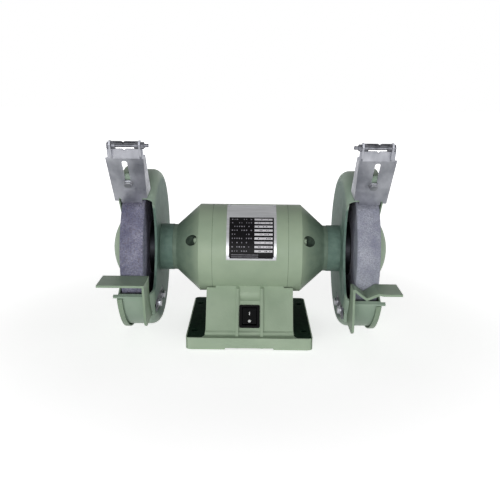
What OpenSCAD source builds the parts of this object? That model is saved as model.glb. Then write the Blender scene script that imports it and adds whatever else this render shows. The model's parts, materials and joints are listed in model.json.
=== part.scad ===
// Bench grinder with two guarded wheels on a cast pedestal.
// X is the shaft, -Y is the front, +Z is up, and Z = 0 is the bench.
// The origin is the middle of the four base bolts, on the bench.

/* [Base] */
// Width of the base flange
base_w = 178; // [174:1:200]
// Depth of the base flange
base_d = 188; // [182:1:210]
// Thickness of the base flange
flange_t = 17; // [14:1:20]
// Corner radius of the base flange
flange_corner_r = 8; // [4:1:14]
// Height of the middle of the base above the bench
underside_gap = 2.2; // [1:0.1:2.4]
// Width of the raised middle of the underside
underside_gap_w = 68; // [40:1:90]
// Bolt spacing across the base
bolt_spacing_x = 157; // [150:1:160]
// Bolt spacing along the base
bolt_spacing_y = 124; // [110:1:140]
// Diameter of the base bolt holes
bolt_hole_d = 9; // [7:0.5:10]
// Width of the column
column_w = 124; // [118:1:130]
// Depth of the column where it meets the flange
column_foot_d = 160; // [152:1:166]
// Depth of the column where it meets the motor
column_top_d = 88; // [80:1:94]
// Wall of the column
column_wall = 6; // [4:0.5:8]
// Radius at the foot of the column
foot_fillet_r = 5; // [3:0.5:7]
// Width of the front ribs
rib_w = 4; // [3:0.5:6]
// Distance between the middles of the front ribs
rib_spacing = 35; // [34:1:44]
// Height of the front ribs above the face
rib_h = 5; // [3:0.5:7]

/* [Motor] */
// Height of the shaft above the bench
axis_h = 125; // [122:1:140]
// Diameter of the motor shell
motor_d = 128; // [126:1:130]
// Wall of the motor shell
shell_wall = 4; // [3:0.5:5]
// Length of the motor shell
shell_l = 107; // [104:1:112]
// Length of the straight part of each end bell
bell_straight_l = 19.5; // [18:0.5:24]
// Length of the cone of each end bell
bell_cone_l = 33.5; // [31:0.5:38]
// Diameter of the neck of each end bell
neck_d = 67; // [64:1:72]
// Length of the neck of each end bell
neck_l = 5.5; // [4:0.5:8]
// Length of the rotor and stator cores
core_l = 70; // [60:1:74]
// Diameter of the rotor core
rotor_d = 72; // [68:1:74]
// Air gap between rotor and stator
air_gap = 0.6; // [0.4:0.1:1]
// Distance of the through bolts in from the motor's outside
through_inset = 9.5; // [9:0.5:11]
// Angle of the first through bolt above the front
through_angle = 23; // [15:1:30]

/* [Shaft] */
// Shaft diameter in the bearings
shaft_d = 20; // [18:1:22]
// Shaft diameter under the rotor
shaft_core_d = 25; // [24:1:28]
// Shaft diameter under the wheels
arbor_d = 16; // [14:1:16]
// Outer diameter of the ball bearings
bearing_d = 47; // [46:1:48]
// Width of the ball bearings
bearing_w = 14; // [12:1:14]

/* [Wheels] */
// Diameter of the grinding wheels
wheel_d = 200; // [180:1:210]
// Thickness of the grinding wheels
wheel_t = 32; // [28:1:32]
// Bore of the grinding wheels
wheel_bore = 32; // [30:1:36]
// Distance of the inner face of each wheel from the middle
wheel_x = 144.5; // [144:0.5:146]
// Diameter of the wheel flanges
wheel_flange_d = 74; // [66:1:76]
// Thickness of the paper blotters
blotter_t = 0.5; // [0.3:0.1:0.8]

/* [Guards] */
// Gap between each wheel and the wall around it
guard_gap = 10.5; // [9:0.5:13]
// Wall of the guards
guard_wall = 3.5; // [3:0.5:4]
// Distance of the guard's motor side from the middle
guard_x = 130; // [129:0.5:130.5]
// Round edge of the guard
guard_edge_r = 14; // [10:1:16]
// Height of the opening's upper edge above the front, in degrees
open_up = 48.5; // [44:0.5:54]
// Depth of the left opening's lower edge below the front, in degrees
left_open_down = 22.5; // [20:0.1:25]
// Depth of the right opening's lower edge below the front, in degrees
right_open_down = 26.8; // [24:0.1:29]
// Turn of both guards on their collars, in degrees
guard_turn = 0; // [-6:0.5:6]
// How far the outer covers stand out past the guard wall
cover_lip = 4; // [3:0.5:7]
// Sheet thickness of the outer covers
cover_t = 2; // [2:0.5:3]
// Diameter of the dome over the arbor nut
dome_d = 100; // [98:1:106]
// Height of the dome over the arbor nut
dome_h = 20; // [19:0.5:24]
// Collar that stays around the dome at the front
dome_collar = 8; // [4:1:14]

/* [Tool rests] */
// Top of the left tool rest below the shaft
left_rest_drop = 17; // [14:0.5:20]
// Top of the right tool rest below the shaft
right_rest_drop = 25.5; // [23:0.5:28]
// Height of the tool rest arms, from the rest's top to the bolts
arm_drop = 51; // [49:0.5:53]
// Gap between a tool rest and its wheel
rest_gap = 2.5; // [2:0.5:4]
// Depth of the tool rests
rest_depth = 47.5; // [40:0.5:54]
// Distance of the outer edge of the tool rests from the middle
rest_outer_x = 199; // [192:1:206]
// Thickness of the tool rests
rest_t = 3; // [2.5:0.5:3.5]
// Depth of the drill groove
groove_depth = 10; // [8:1:12]
// Width of the drill groove
groove_w = 29; // [24:1:31]
// Spacing of the two bolts of each rest
rest_bolt_spacing = 38; // [34:1:42]
// Travel of the tool rests away from the wheel
rest_travel = 14; // [8:1:15]

/* [Shield brackets] */
// Gap between a bracket's tongue and its wheel
tongue_gap = 6.5; // [4:0.5:8]
// Sheet thickness of the brackets
bracket_t = 2; // [1.5:0.5:2.5]
// Height of the bracket's lower edge above the guard wall
bracket_rise = 2; // [1:0.5:4]
// Length of the bracket plate
bracket_l = 80; // [76:1:88]
// Width of the slot in the bracket
slot_w = 7; // [6.5:0.5:8]
// Diameter of the hinge rods
rod_d = 5; // [4:0.5:6]

/* [Switch] */
// Width of the switch bezel
switch_w = 29; // [27:1:29]
// Height of the switch bezel
switch_h = 33; // [31:1:35]
// Height of the middle of the switch above the bench
switch_z = 39.5; // [38:0.5:42]
// Tilt of the rocker to each side, in degrees
rocker_tilt = 8; // [5:1:10]

/* [Hidden] */
$fn = 96;
LEFT = -1;
RIGHT = 1;
green = [0.52, 0.60, 0.53];
zinc = [0.70, 0.70, 0.74];
steel = [0.62, 0.63, 0.65];
black = [0.09, 0.09, 0.10];
fit = 0.02;
slip = 0.1;
over = 1;
// Motor
motor_r = motor_d / 2;
shell_in_r = motor_r - shell_wall;
neck_r = neck_d / 2;
shell_x = shell_l / 2;
cone_x = shell_x + bell_straight_l;
neck_x = cone_x + bell_cone_l;
collar_x = neck_x + neck_l;
register_l = 4;
register_t = 4;
bell_wall = 8;
spigot_r = neck_r - 4.5;
web_t = guard_wall;
web_x = guard_x - 2.4;
spigot_x = web_x - slip;
spigot_bore_r = shaft_d / 2 + 3;
bearing_r = bearing_d / 2;
washer_t = 1;
bearing_x = collar_x - bearing_w - washer_t;
washer_x = bearing_x + bearing_w;
bell_end_x = collar_x + 3;
through_r = motor_r - through_inset;
through_bolt_r = 2.5;
through_boss_r = 8.5;
pocket_r = 7.5;
pocket_x = cone_x + 2;
winding_in_r = rotor_d / 2 + air_gap + 3;
winding_out_r = through_r - through_bolt_r - 1;
winding_l = 14;
stator_r = rotor_d / 2 + air_gap;
slot_count = 12;
slot_out_r = winding_out_r - 1.5;
stator_slot_w = 7;
// Bearings
ball_r = bearing_w * 0.2836;
ball_pitch_r = (bearing_r + shaft_d / 2) / 2;
race_gap = 0.33;
race_land = 2.45;
ball_count = 8;
cage_t = 2;
cage_l = 6.5;
// Base
column_foot_r = column_foot_d / 2;
fillet_root = 1;
fillet_bite = 0.2;
column_top_r = column_top_d / 2;
column_top_z = axis_h - sqrt(pow(motor_r, 2) - pow(column_top_r, 2)) - 1;
lean_run = column_foot_r - column_top_r;
lean_rise = column_top_z - flange_t;
lean = atan(lean_run / lean_rise);
saddle_l = 98;
saddle_relief = 2.5;
cavity_top_z = axis_h - motor_r - 9;
plate_ledge = 5;
bottom_plate_t = 2;
plate_seat_z = underside_gap + bottom_plate_t;
cavity_foot_r = column_foot_r - column_wall - 1;
cavity_half_w = column_w / 2 - column_wall;
plate_screw_r = 1.5;
saddle_bolt_x = core_l / 2 + 8;
saddle_bolt_r = 4;
wire_hole_r = 8;
gland_z = 34;
gland_thread_r = 8;
gland_bore_r = 4.2;
gland_cap_r = 8.5;
gland_l = 12;
gland_hex_af = 20;
gland_hex_t = 5;
// Capacitor, between the bottom plate and the roof of the cavity
cap_floor_gap = 2;
cap_roof_gap = 11.8;
cap_r = (cavity_top_z - plate_seat_z - cap_floor_gap - cap_roof_gap) / 2;
cap_l = 62;
cap_x = -40;
cap_y = 34;
cap_z = plate_seat_z + cap_floor_gap + cap_r;
cap_clamp_x = -15;
cap_clamp_w = 12;
cap_clamp_t = 1.7;
cap_foot_t = 2;
cap_foot_l = 6;
// Nameplate, its edges in degrees above the front
plate_x = 1.6;
plate_half_w = 35.2;
plate_low = -2.8;
plate_high = 85.5;
plate_t = 0.6;
plate_lift = 0.05;
rivet_r = 1.2;
rivet_head_r = 1.9;
rivet_inset = 3;
// Switch
switch_body_w = switch_w - 5;
switch_body_h = switch_h - 5;
switch_body_l = 22;
bezel_t = 2.5;
rocker_w = switch_w - 9;
rocker_r = switch_h / 2 - 3.9;
rocker_pivot = -1.5;
pocket_floor = -9;
rocker_gap = 0.5;
// Shaft and wheels
arbor_r = arbor_d / 2;
wheel_r = wheel_d / 2;
wheel_end_x = wheel_x + wheel_t;
hub_r = wheel_bore / 2;
hub_l = wheel_t * 0.42;
inner_flange_x = wheel_x - blotter_t - 10;
outer_flange_x = wheel_end_x + blotter_t;
outer_flange_t = 6;
nut_x = outer_flange_x + outer_flange_t;
nut_t = 11;
nut_af = 24;
shaft_end_x = nut_x + nut_t + 1.5;
// Guards
guard_r = wheel_r + guard_gap + guard_wall;
guard_in_x = guard_x + guard_wall;
wheel_clearance = 1.8;
wall_end_x = wheel_end_x + wheel_clearance;
cover_x = wall_end_x + fit;
cover_face_x = cover_x + cover_t;
cover_r = guard_r + cover_lip;
cover_rim_l = 7;
dome_base_r = dome_d / 2;
dome_r = (pow(dome_base_r, 2) + pow(dome_h, 2)) / (2 * dome_h);
dome_centre_x = cover_face_x + dome_h - dome_r;
cover_screw_r = 2;
cover_boss_r = 4;
cover_pitch_r = guard_r - guard_wall - 1.6;
cover_screw_angles = [62, 128, 194, 260, 326];
guard_screw_r = 2.5;
guard_screw_pitch = (spigot_bore_r + spigot_r) / 2;
guard_slot_span = 20;
// Round cut that clears the motor side at the opening
scoop_r = 90;
scoop_y = -150;
scoop_z = 25;
lip_t = 3;
lip_h = 3;
lip_reach = 5;
// Shield bracket, in a frame turned up to the opening's upper edge
lug_t = 4;
lug_x0 = 149;
lug_x1 = 172;
lug_r = guard_r + 46;
bracket_gap = 0.1;
bracket_x1 = 184;
bracket_x0 = 140;
bracket_top_x0 = 135.5;
bracket_low_r = guard_r + bracket_rise;
bracket_high_r = bracket_low_r + bracket_l;
tongue_x0 = 147;
tongue_x1 = 175.5;
tongue_r = wheel_r + tongue_gap;
slot_x = 161;
bracket_screw_u = guard_r + 34;
bracket_ear_w = 5;
bracket_ear_h = 6;
bracket_washer_r = 6.5;
bracket_washer_t = 1.4;
bracket_screw_r = 3;
bracket_hex_af = 10;
bracket_hex_t = 3.7;
bracket_nut_t = 5;
slot_low = bracket_screw_u - 9;
slot_high = bracket_high_r - 5;
side_flange_l = 14;
side_flange_out = 3.5;
side_flange_top = 5;
strip_l = 14;
strip_hole_r = 1.7;
strip_bend = 14;
ear_h = 26;
ear_t = 2.5;
ear_x0 = 137.5;
ear_x1 = 177;
rod_u = bracket_high_r + 18.5;
rod_z = 3;
rod_x0 = 127.5;
rod_x1 = 180;
rod_r = rod_d / 2;
rod_nut_t = 4.5;
clamp_r = rod_r + 1.8;
clamp_bar_h = 6;
clamp_bar_t = 4;
clamp_notch_w = 4.4;
clamp_groove_w = 1.6;
clamp_groove_h = 2;
clamp_mid_x = 159;
knuckle_l = 5;
// Tool rests, in the guard's frame
arm_x = guard_in_x + 3.5;
arm_half_h = 12;
arm_tip_h = 5;
arm_tip_y = 16;
rest_bolt_y = -20;
rest_bolt_r = 3;
rest_bolt_af = 10;
rest_bolt_head = 4;
rest_washer_t = 1.2;
clamp_plate_t = 2;
clamp_plate_h = 20;
clamp_recess = 2.5;
rest_slot_extra = 1.2;
notch_gap = 1;

groove_x = arm_x + rest_t + groove_w / 2;
groove_back = 14;
clamp_face_x = guard_x + clamp_recess - clamp_plate_t - slip;
rest_washer_r = 6.5;

// Angle, height and reach that differ from side to side
function open_down(side) = side == LEFT ? left_open_down : right_open_down;
function rest_drop(side) = side == LEFT ? left_rest_drop : right_rest_drop;
function slot_z(side) = -rest_drop(side) - arm_drop;
function rest_back_y(side) = -sqrt(pow(wheel_r, 2) - pow(rest_drop(side), 2)) - rest_gap;
function rest_front_y(side) = rest_back_y(side) - rest_depth;

// ---- helpers ----

// A round bar along X
module x_rod(r, x0, x1) {
    translate([x0, 0, 0])
        rotate([0, 90, 0])
            cylinder(r = r, h = x1 - x0);
}

// A flat shape in Y and Z, drawn out along X
module x_prism(x0, x1) {
    translate([x0, 0, 0])
        rotate([90, 0, 90])
            linear_extrude(x1 - x0)
                children();
}

// A profile of radius and X, turned about the shaft
module x_turned(from = 0, span = 360) {
    rotate([0, 90, 0])
        rotate_extrude(angle = span, start = from)
            children();
}

// A ring about the shaft
module x_ring(r0, r1, x0, x1) {
    x_turned()
        translate([r0, x0])
            square([r1 - r0, x1 - x0]);
}

// Puts a right-hand shape on its side of the machine, at shaft height
module at_side(side) {
    translate([0, 0, axis_h])
        mirror_if(side == LEFT)
            children();
}

module mirror_if(flip) {
    if (flip) {
        mirror([1, 0, 0])
            children();
    } else {
        children();
    }
}

// The same, turned forward with the guards
module on_guard(side) {
    at_side(side)
        rotate([guard_turn, 0, 0])
            children();
}

// Turns a shape that points to the front up by an angle
module raised(angle) {
    rotate([-angle, 0, 0])
        children();
}

// A wedge of the Y and Z plane between two angles above the front
module wedge(low, high, reach) {
    mid = (low + high) / 2;
    polygon([
        [0, 0],
        [-reach * cos(low), reach * sin(low)],
        [-reach * 1.3 * cos(mid), reach * 1.3 * sin(mid)],
        [-reach * cos(high), reach * sin(high)]
    ]);
}

// A rectangle with round corners, centred
module round_rect(w, d, r) {
    square([w - 2 * r, d], center = true);
    square([w, d - 2 * r], center = true);
    for (x = [-1, 1], y = [-1, 1]) {
        translate([x * (w / 2 - r), y * (d / 2 - r)])
            circle(r);
    }
}

// A hexagon bar along Z, given across its flats
module hex_bar(af, h) {
    cylinder(r = af / 2 / cos(30), h = h, $fn = 6);
}

// Front face of the column at a height
function face_y(z) = -column_foot_r + (z - flange_t) * tan(lean);

// Sits on the leaning front face: X across, Y up the face, Z out of it
module on_face(z) {
    translate([0, face_y(z), z])
        rotate([90 - lean, 0, 0])
            children();
}

// ---- base ----

module column_profile(inset) {
    polygon([
        [-column_foot_r + inset, flange_t - over],
        [column_foot_r - inset, flange_t - over],
        [column_foot_r - inset, flange_t],
        [column_top_r - inset, column_top_z],
        [column_top_r - inset - over * 12 * tan(lean), column_top_z + over * 12],
        [-column_top_r + inset + over * 12 * tan(lean), column_top_z + over * 12],
        [-column_top_r + inset, column_top_z],
        [-column_foot_r + inset, flange_t]
    ]);
}

// Hollow corner between the column and the flange, all round
module foot_fillets() {
    for (s = [0, 1]) {
        rotate([0, 0, 180 * s]) {
            x_prism(-column_w / 2, column_w / 2)
                leaning_fillet();
            translate([column_w / 2, 0, flange_t])
                rotate([90, 0, 0])
                    linear_extrude(column_foot_d, center = true)
                        side_fillet();
        }
    }
}

module side_fillet() {
    difference() {
        translate([-fillet_root, -fillet_root])
            square(foot_fillet_r + fillet_root - fillet_bite);
        translate([foot_fillet_r - fillet_bite, foot_fillet_r - fillet_bite])
            circle(foot_fillet_r);
    }
}

module leaning_fillet() {
    reach = foot_fillet_r;
    difference() {
        polygon([
            [-column_foot_r + reach, flange_t - fillet_root],
            [-column_foot_r - reach, flange_t - fillet_root],
            [-column_foot_r - reach, flange_t],
            [-column_foot_r + reach * tan(lean) - fillet_bite, flange_t + reach],
            [-column_foot_r + reach, flange_t + reach]
        ]);
        translate([-column_foot_r - reach, flange_t + reach - fillet_bite])
            circle(reach);
    }
}

module front_ribs() {
    for (s = [-1, 1]) {
        x_prism(s * rib_spacing / 2 - rib_w / 2, s * rib_spacing / 2 + rib_w / 2)
            polygon([
                [face_y(0) - rib_h / cos(lean), 0],
                [face_y(0) + base_d / 8, 0],
                [face_y(column_top_z) + over, column_top_z - over],
                [face_y(column_top_z), column_top_z],
                [face_y(column_top_z - 1.5) - rib_h / cos(lean), column_top_z - 1.5]
            ]);
    }
}

module base_casting() {
    color(green)
        difference() {
            union() {
                linear_extrude(flange_t)
                    round_rect(base_w, base_d, flange_corner_r);
                x_prism(-column_w / 2, column_w / 2)
                    column_profile(0);
                foot_fillets();
                front_ribs();
            }
            base_cuts();
        }
}

module base_cuts() {
    // saddle for the shell, with relief under the end bells
    translate([0, 0, axis_h]) {
        x_rod(motor_r + slip, -saddle_l / 2, saddle_l / 2);
        for (s = [-1, 1]) {
            mirror_if(s < 0)
                x_rod(motor_r + saddle_relief, saddle_l / 2, column_w / 2 + over);
        }
    }
    // hollow inside
    intersection() {
        x_prism(-cavity_half_w, cavity_half_w)
            union() {
                column_profile(column_wall + 1);
                translate([-cavity_foot_r, -over])
                    square([2 * cavity_foot_r, flange_t + over]);
            }
        translate([-column_w, -base_d, -over])
            cube([2 * column_w, 2 * base_d, cavity_top_z + over]);
    }
    // seat of the bottom plate
    translate([0, 0, -over])
        linear_extrude(plate_seat_z + over)
            square([2 * (cavity_half_w + plate_ledge), 2 * (cavity_foot_r + plate_ledge)], center = true);
    // raised middle of the underside
    translate([-underside_gap_w / 2, -base_d, -over])
        cube([underside_gap_w, 2 * base_d, underside_gap + over]);
    base_bolt_places()
        translate([0, 0, -over])
            cylinder(d = bolt_hole_d, h = flange_t + 2 * over);
    plate_screw_places()
        cylinder(r = plate_screw_r, h = 8);
    // scoop above the switch
    on_face(switch_z + switch_h / 2 + 9)
        translate([0, 0, 7.5])
            x_rod(10, -(rib_spacing - rib_w) / 2 + 1, (rib_spacing - rib_w) / 2 - 1);
    // switch opening
    on_face(switch_z)
        translate([0, 0, -15])
            linear_extrude(30)
                square([switch_body_w + 0.4, switch_body_h + 0.4], center = true);
    // cable entry
    gland_place()
        translate([0, 0, -15])
            cylinder(r = gland_thread_r + fit, h = 30);
    // saddle bolts and wires
    saddle_bolt_places()
        translate([0, 0, -20])
            cylinder(r = saddle_bolt_r + 0.3, h = 40);
    translate([0, 0, cavity_top_z - over])
        cylinder(r = wire_hole_r, h = 20);
}

module base_bolt_places() {
    for (x = [-1, 1], y = [-1, 1]) {
        translate([x * bolt_spacing_x / 2, y * bolt_spacing_y / 2, 0])
            children();
    }
}

module plate_screw_places() {
    for (x = [-1, 1], y = [-1, 1]) {
        translate([x * (cavity_half_w + plate_ledge / 2), y * (cavity_foot_r - 8), plate_seat_z - bottom_plate_t])
            children();
    }
}

module saddle_bolt_places() {
    for (s = [-1, 1]) {
        translate([s * saddle_bolt_x, 0, cavity_top_z])
            children();
    }
}

// The cable entry sits on the leaning back face
module gland_place() {
    mirror([0, 1, 0])
        on_face(gland_z)
            children();
}

module bottom_plate() {
    color(steel)
        difference() {
            translate([0, 0, plate_seat_z - bottom_plate_t])
                linear_extrude(bottom_plate_t)
                    square([2 * (cavity_half_w + plate_ledge) - 0.6, 2 * (cavity_foot_r + plate_ledge) - 0.6], center = true);
            plate_screw_places()
                translate([0, 0, -over])
                    cylinder(r = plate_screw_r + 0.3, h = 8);
        }
}

module bottom_plate_screws() {
    color(zinc)
        plate_screw_places() {
            translate([0, 0, -1.6])
                cylinder(r = 2.3, h = 1.6);
            translate([0, 0, -0.2])
                cylinder(r = plate_screw_r - fit, h = 8);
        }
}

module cable_gland() {
    color(black)
        gland_place()
            difference() {
                union() {
                    translate([0, 0, -column_wall - gland_hex_t])
                        cylinder(r = gland_thread_r - fit, h = column_wall + gland_hex_t + over);
                    hex_bar(gland_hex_af, gland_hex_t);
                    cylinder(r = gland_cap_r, h = gland_l);
                }
                translate([0, 0, -30])
                    cylinder(r = gland_bore_r, h = 60);
            }
}

module capacitor() {
    color([0.82, 0.82, 0.8])
        translate([cap_x, cap_y, cap_z])
            x_rod(cap_r, 0, cap_l);
}

module capacitor_clamp() {
    color(zinc)
        translate([cap_clamp_x, cap_y, cap_z])
            difference() {
                union() {
                    x_rod(cap_r + cap_clamp_t, 0, cap_clamp_w);
                    translate([0, -cap_r - cap_foot_l, -cap_r - cap_floor_gap])
                        cube([cap_clamp_w, 2 * (cap_r + cap_foot_l), cap_foot_t]);
                }
                x_rod(cap_r + slip, -over, cap_clamp_w + over);
            }
}

module terminal_block() {
    color([0.9, 0.9, 0.86])
        translate([22, -16, plate_seat_z])
            difference() {
                cube([30, 14, 13]);
                for (i = [0:2]) {
                    translate([5 + i * 10, 7, 5])
                        cylinder(r = 2.4, h = 10);
                }
            }
}

module switch_housing() {
    color(black)
        on_face(switch_z)
            difference() {
                union() {
                    linear_extrude(bezel_t)
                        round_rect(switch_w, switch_h, 2);
                    translate([0, 0, -switch_body_l])
                        linear_extrude(switch_body_l + over)
                            square([switch_body_w, switch_body_h], center = true);
                    for (x = [-1, 1], y = [-1, 1]) {
                        translate([x * 6 - 0.4, y * 8 - 2.4, -switch_body_l - 7])
                            cube([0.8, 4.8, 8]);
                    }
                }
                translate([0, 0, pocket_floor])
                    linear_extrude(20)
                        square([rocker_w + 2 * rocker_gap, 2 * (rocker_r + rocker_gap)], center = true);
            }
}

module switch_rocker() {
    color([0.14, 0.14, 0.15])
        on_face(switch_z)
            translate([0, 0, rocker_pivot])
                rotate([-rocker_tilt, 0, 0])
                    x_prism(-rocker_w / 2, rocker_w / 2)
                        intersection() {
                            circle(rocker_r);
                            polygon([
                                [-rocker_r - 1, -4],
                                [rocker_r + 1, -4],
                                [rocker_r + 1, 3.4 + rocker_r * tan(rocker_tilt)],
                                [0, 3.4],
                                [-rocker_r - 1, 3.4 + rocker_r * tan(rocker_tilt)]
                            ]);
                        }
}

// ---- motor ----

module motor_shell() {
    color(green)
        difference() {
            at_side(RIGHT)
                x_ring(shell_in_r, motor_r, -shell_x, shell_x);
            saddle_bolt_places()
                translate([0, 0, -over])
                    cylinder(r = saddle_bolt_r + fit, h = 30);
            translate([0, 0, cavity_top_z])
                cylinder(r = wire_hole_r - 2, h = 20);
            rivet_places(motor_r)
                cylinder(r = rivet_r + 0.05, h = shell_wall * 2 + 4, center = true);
        }
}

module bell_profile() {
    polygon([
        [shell_in_r - register_t, shell_x - register_l],
        [shell_in_r - slip, shell_x - register_l],
        [shell_in_r - slip, shell_x],
        [motor_r, shell_x],
        [motor_r, cone_x],
        [neck_r, neck_x],
        [neck_r, collar_x],
        [spigot_r, collar_x],
        [spigot_r, spigot_x],
        [spigot_bore_r, spigot_x],
        [spigot_bore_r, bell_end_x],
        [shaft_d / 2 + 1, bell_end_x],
        [shaft_d / 2 + 1, collar_x],
        [bearing_r, collar_x],
        [bearing_r, bearing_x],
        [bearing_r + bell_wall, bearing_x],
        [shell_in_r - register_t, cone_x - 2]
    ]);
}

module through_places() {
    for (i = [0:3]) {
        raised(through_angle + 90 * i)
            translate([0, -through_r, 0])
                children();
    }
}

module end_bell(side) {
    color(green)
        at_side(side)
            difference() {
                union() {
                    x_turned()
                        bell_profile();
                    intersection() {
                        through_places()
                            x_rod(through_boss_r, shell_x, pocket_x + 12);
                        x_turned()
                            polygon([
                                [0, shell_x],
                                [motor_r - 1, shell_x],
                                [motor_r - 1, cone_x],
                                [neck_r - 1, neck_x],
                                [0, neck_x]
                            ]);
                    }
                }
                through_places() {
                    x_rod(through_bolt_r + 0.2, shell_x - 10, pocket_x + 1);
                    x_rod(pocket_r, pocket_x, neck_x + 5);
                }
                guard_screw_places()
                    x_rod(guard_screw_r + fit, spigot_x - 9, spigot_x + over);
            }
}

module through_bolts() {
    color(steel)
        translate([0, 0, axis_h])
            through_places() {
                x_rod(through_bolt_r, -pocket_x - 5, pocket_x + 1);
                translate([pocket_x + 0.1, 0, 0])
                    rotate([0, 90, 0])
                        hex_bar(8, 4);
                translate([-pocket_x - 4.1, 0, 0])
                    rotate([0, 90, 0])
                        hex_bar(8, 4);
            }
}

module stator_core() {
    color(steel)
        translate([0, 0, axis_h])
            difference() {
                x_ring(stator_r, shell_in_r - fit, -core_l / 2, core_l / 2);
                through_places()
                    x_rod(through_bolt_r + 0.3, -core_l, core_l);
                for (i = [0:slot_count - 1]) {
                    rotate([i * 360 / slot_count, 0, 0])
                        translate([-core_l, winding_in_r - 1, -stator_slot_w / 2])
                            cube([2 * core_l, slot_out_r - winding_in_r + 1, stator_slot_w]);
                }
            }
}

module stator_windings() {
    color([0.72, 0.42, 0.24])
        translate([0, 0, axis_h]) {
            for (s = [-1, 1]) {
                mirror_if(s < 0)
                    x_turned()
                        translate([winding_in_r, core_l / 2 + slip])
                            square([winding_out_r - winding_in_r, winding_l]);
            }
            for (i = [0:slot_count - 1]) {
                rotate([i * 360 / slot_count, 0, 0])
                    translate([-core_l / 2 - 2, winding_in_r, -stator_slot_w / 2 + 0.2])
                        cube([core_l + 4, slot_out_r - winding_in_r - 0.4, stator_slot_w - 0.4]);
            }
        }
}

module bearing_outer(side) {
    color(steel)
        at_side(side)
            x_turned()
                difference() {
                    translate([ball_pitch_r + race_land, bearing_x])
                        square([bearing_r - fit - ball_pitch_r - race_land, bearing_w]);
                    translate([ball_pitch_r, bearing_x + bearing_w / 2])
                        circle(ball_r + race_gap);
                }
}

module bearing_inner(side) {
    color(steel)
        at_side(side)
            x_turned()
                difference() {
                    translate([shaft_d / 2 + fit, bearing_x])
                        square([ball_pitch_r - race_land - shaft_d / 2 - fit, bearing_w]);
                    translate([ball_pitch_r, bearing_x + bearing_w / 2])
                        circle(ball_r + race_gap);
                }
}

module bearing_balls(side) {
    color(zinc)
        at_side(side) {
            for (i = [0:ball_count - 1]) {
                rotate([i * 360 / ball_count, 0, 0])
                    translate([bearing_x + bearing_w / 2, ball_pitch_r, 0])
                        sphere(ball_r);
            }
            x_ring(
                ball_pitch_r - cage_t / 2,
                ball_pitch_r + cage_t / 2,
                bearing_x + (bearing_w - cage_l) / 2,
                bearing_x + (bearing_w + cage_l) / 2
            );
        }
}

// The washer fills the space between bearing and bell on both sides
module wave_washer() {
    color(steel)
        for (side = [LEFT, RIGHT]) {
            at_side(side)
                x_ring(bearing_r - 5, bearing_r - 0.3, washer_x, washer_x + washer_t);
        }
}

module saddle_bolts() {
    color(steel)
        saddle_bolt_places() {
            translate([0, 0, -5.5])
                hex_bar(13, 5.5);
            cylinder(r = saddle_bolt_r, h = axis_h - shell_in_r - cavity_top_z - 0.4);
        }
}

module nameplate() {
    color([0.75, 0.75, 0.76])
        difference() {
            translate([0, 0, axis_h])
                x_turned(270 - plate_high, plate_high - plate_low)
                    translate([motor_r + plate_lift, plate_x - plate_half_w])
                        square([plate_t, 2 * plate_half_w]);
            rivet_places(motor_r)
                cylinder(r = rivet_r + 0.05, h = 6, center = true);
        }
}

module rivet_places(r) {
    translate([0, 0, axis_h])
        for (s = [-1, 1], a = [plate_low + rivet_inset, plate_high - rivet_inset]) {
            raised(a)
                translate([plate_x + s * (plate_half_w - rivet_inset), -r, 0])
                    rotate([90, 0, 0])
                        children();
        }
}

module nameplate_rivets() {
    color(zinc)
        rivet_places(motor_r) {
            translate([0, 0, plate_t + plate_lift])
                cylinder(r = rivet_head_r, h = 0.7);
            translate([0, 0, -3])
                cylinder(r = rivet_r, h = 3 + plate_t + 0.2);
        }
}

// ---- rotor ----

module shaft() {
    color(steel)
        translate([0, 0, axis_h]) {
            x_rod(shaft_core_d / 2, -bearing_x, bearing_x);
            x_rod(shaft_d / 2, -inner_flange_x, inner_flange_x);
            x_rod(arbor_r, -shaft_end_x + 1, shaft_end_x - 1);
            for (s = [-1, 1]) {
                mirror_if(s < 0)
                    translate([shaft_end_x - 1, 0, 0])
                        rotate([0, 90, 0])
                            cylinder(r1 = arbor_r, r2 = arbor_r - 1, h = 1);
            }
        }
}

module rotor_core() {
    color([0.5, 0.5, 0.52])
        translate([0, 0, axis_h])
            x_ring(shaft_core_d / 2 + fit, rotor_d / 2, -core_l / 2, core_l / 2);
}

module rotor_end_rings() {
    color([0.8, 0.8, 0.82])
        translate([0, 0, axis_h])
            for (s = [-1, 1]) {
                mirror_if(s < 0) {
                    x_ring(rotor_d / 2 - 12, rotor_d / 2 - 1, core_l / 2, core_l / 2 + 7);
                    for (i = [0:7]) {
                        rotate([i * 45, 0, 0])
                            translate([core_l / 2 + 5, rotor_d / 2 - 10, -1])
                                cube([6, 7, 2]);
                    }
                }
            }
}

module inner_flanges() {
    color(steel)
        translate([0, 0, axis_h])
            for (s = [-1, 1]) {
                mirror_if(s < 0)
                    x_turned()
                        difference() {
                            union() {
                                translate([0, inner_flange_x])
                                    square([wheel_flange_d / 2, 10]);
                                translate([0, inner_flange_x])
                                    square([hub_r - fit, 10 + hub_l]);
                            }
                            translate([0, inner_flange_x - over])
                                square([arbor_r + fit, 60]);
                            // shallow relief so that the rim of the flange bears
                            translate([hub_r + 3, inner_flange_x + 9])
                                square([wheel_flange_d / 2 - hub_r - 11, 2]);
                        }
            }
}

module outer_flanges() {
    color(steel)
        translate([0, 0, axis_h])
            for (s = [-1, 1]) {
                mirror_if(s < 0)
                    x_turned()
                        difference() {
                            union() {
                                translate([0, outer_flange_x])
                                    square([wheel_flange_d / 2, outer_flange_t]);
                                translate([0, outer_flange_x - hub_l])
                                    square([hub_r - fit, hub_l + 1]);
                            }
                            translate([0, outer_flange_x - 30])
                                square([arbor_r + fit, 60]);
                            translate([hub_r + 3, outer_flange_x - 1])
                                square([wheel_flange_d / 2 - hub_r - 11, 2]);
                        }
            }
}

module wheel(side, tint) {
    color(tint)
        at_side(side)
            x_ring(hub_r, wheel_r, wheel_x, wheel_end_x);
}

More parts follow.
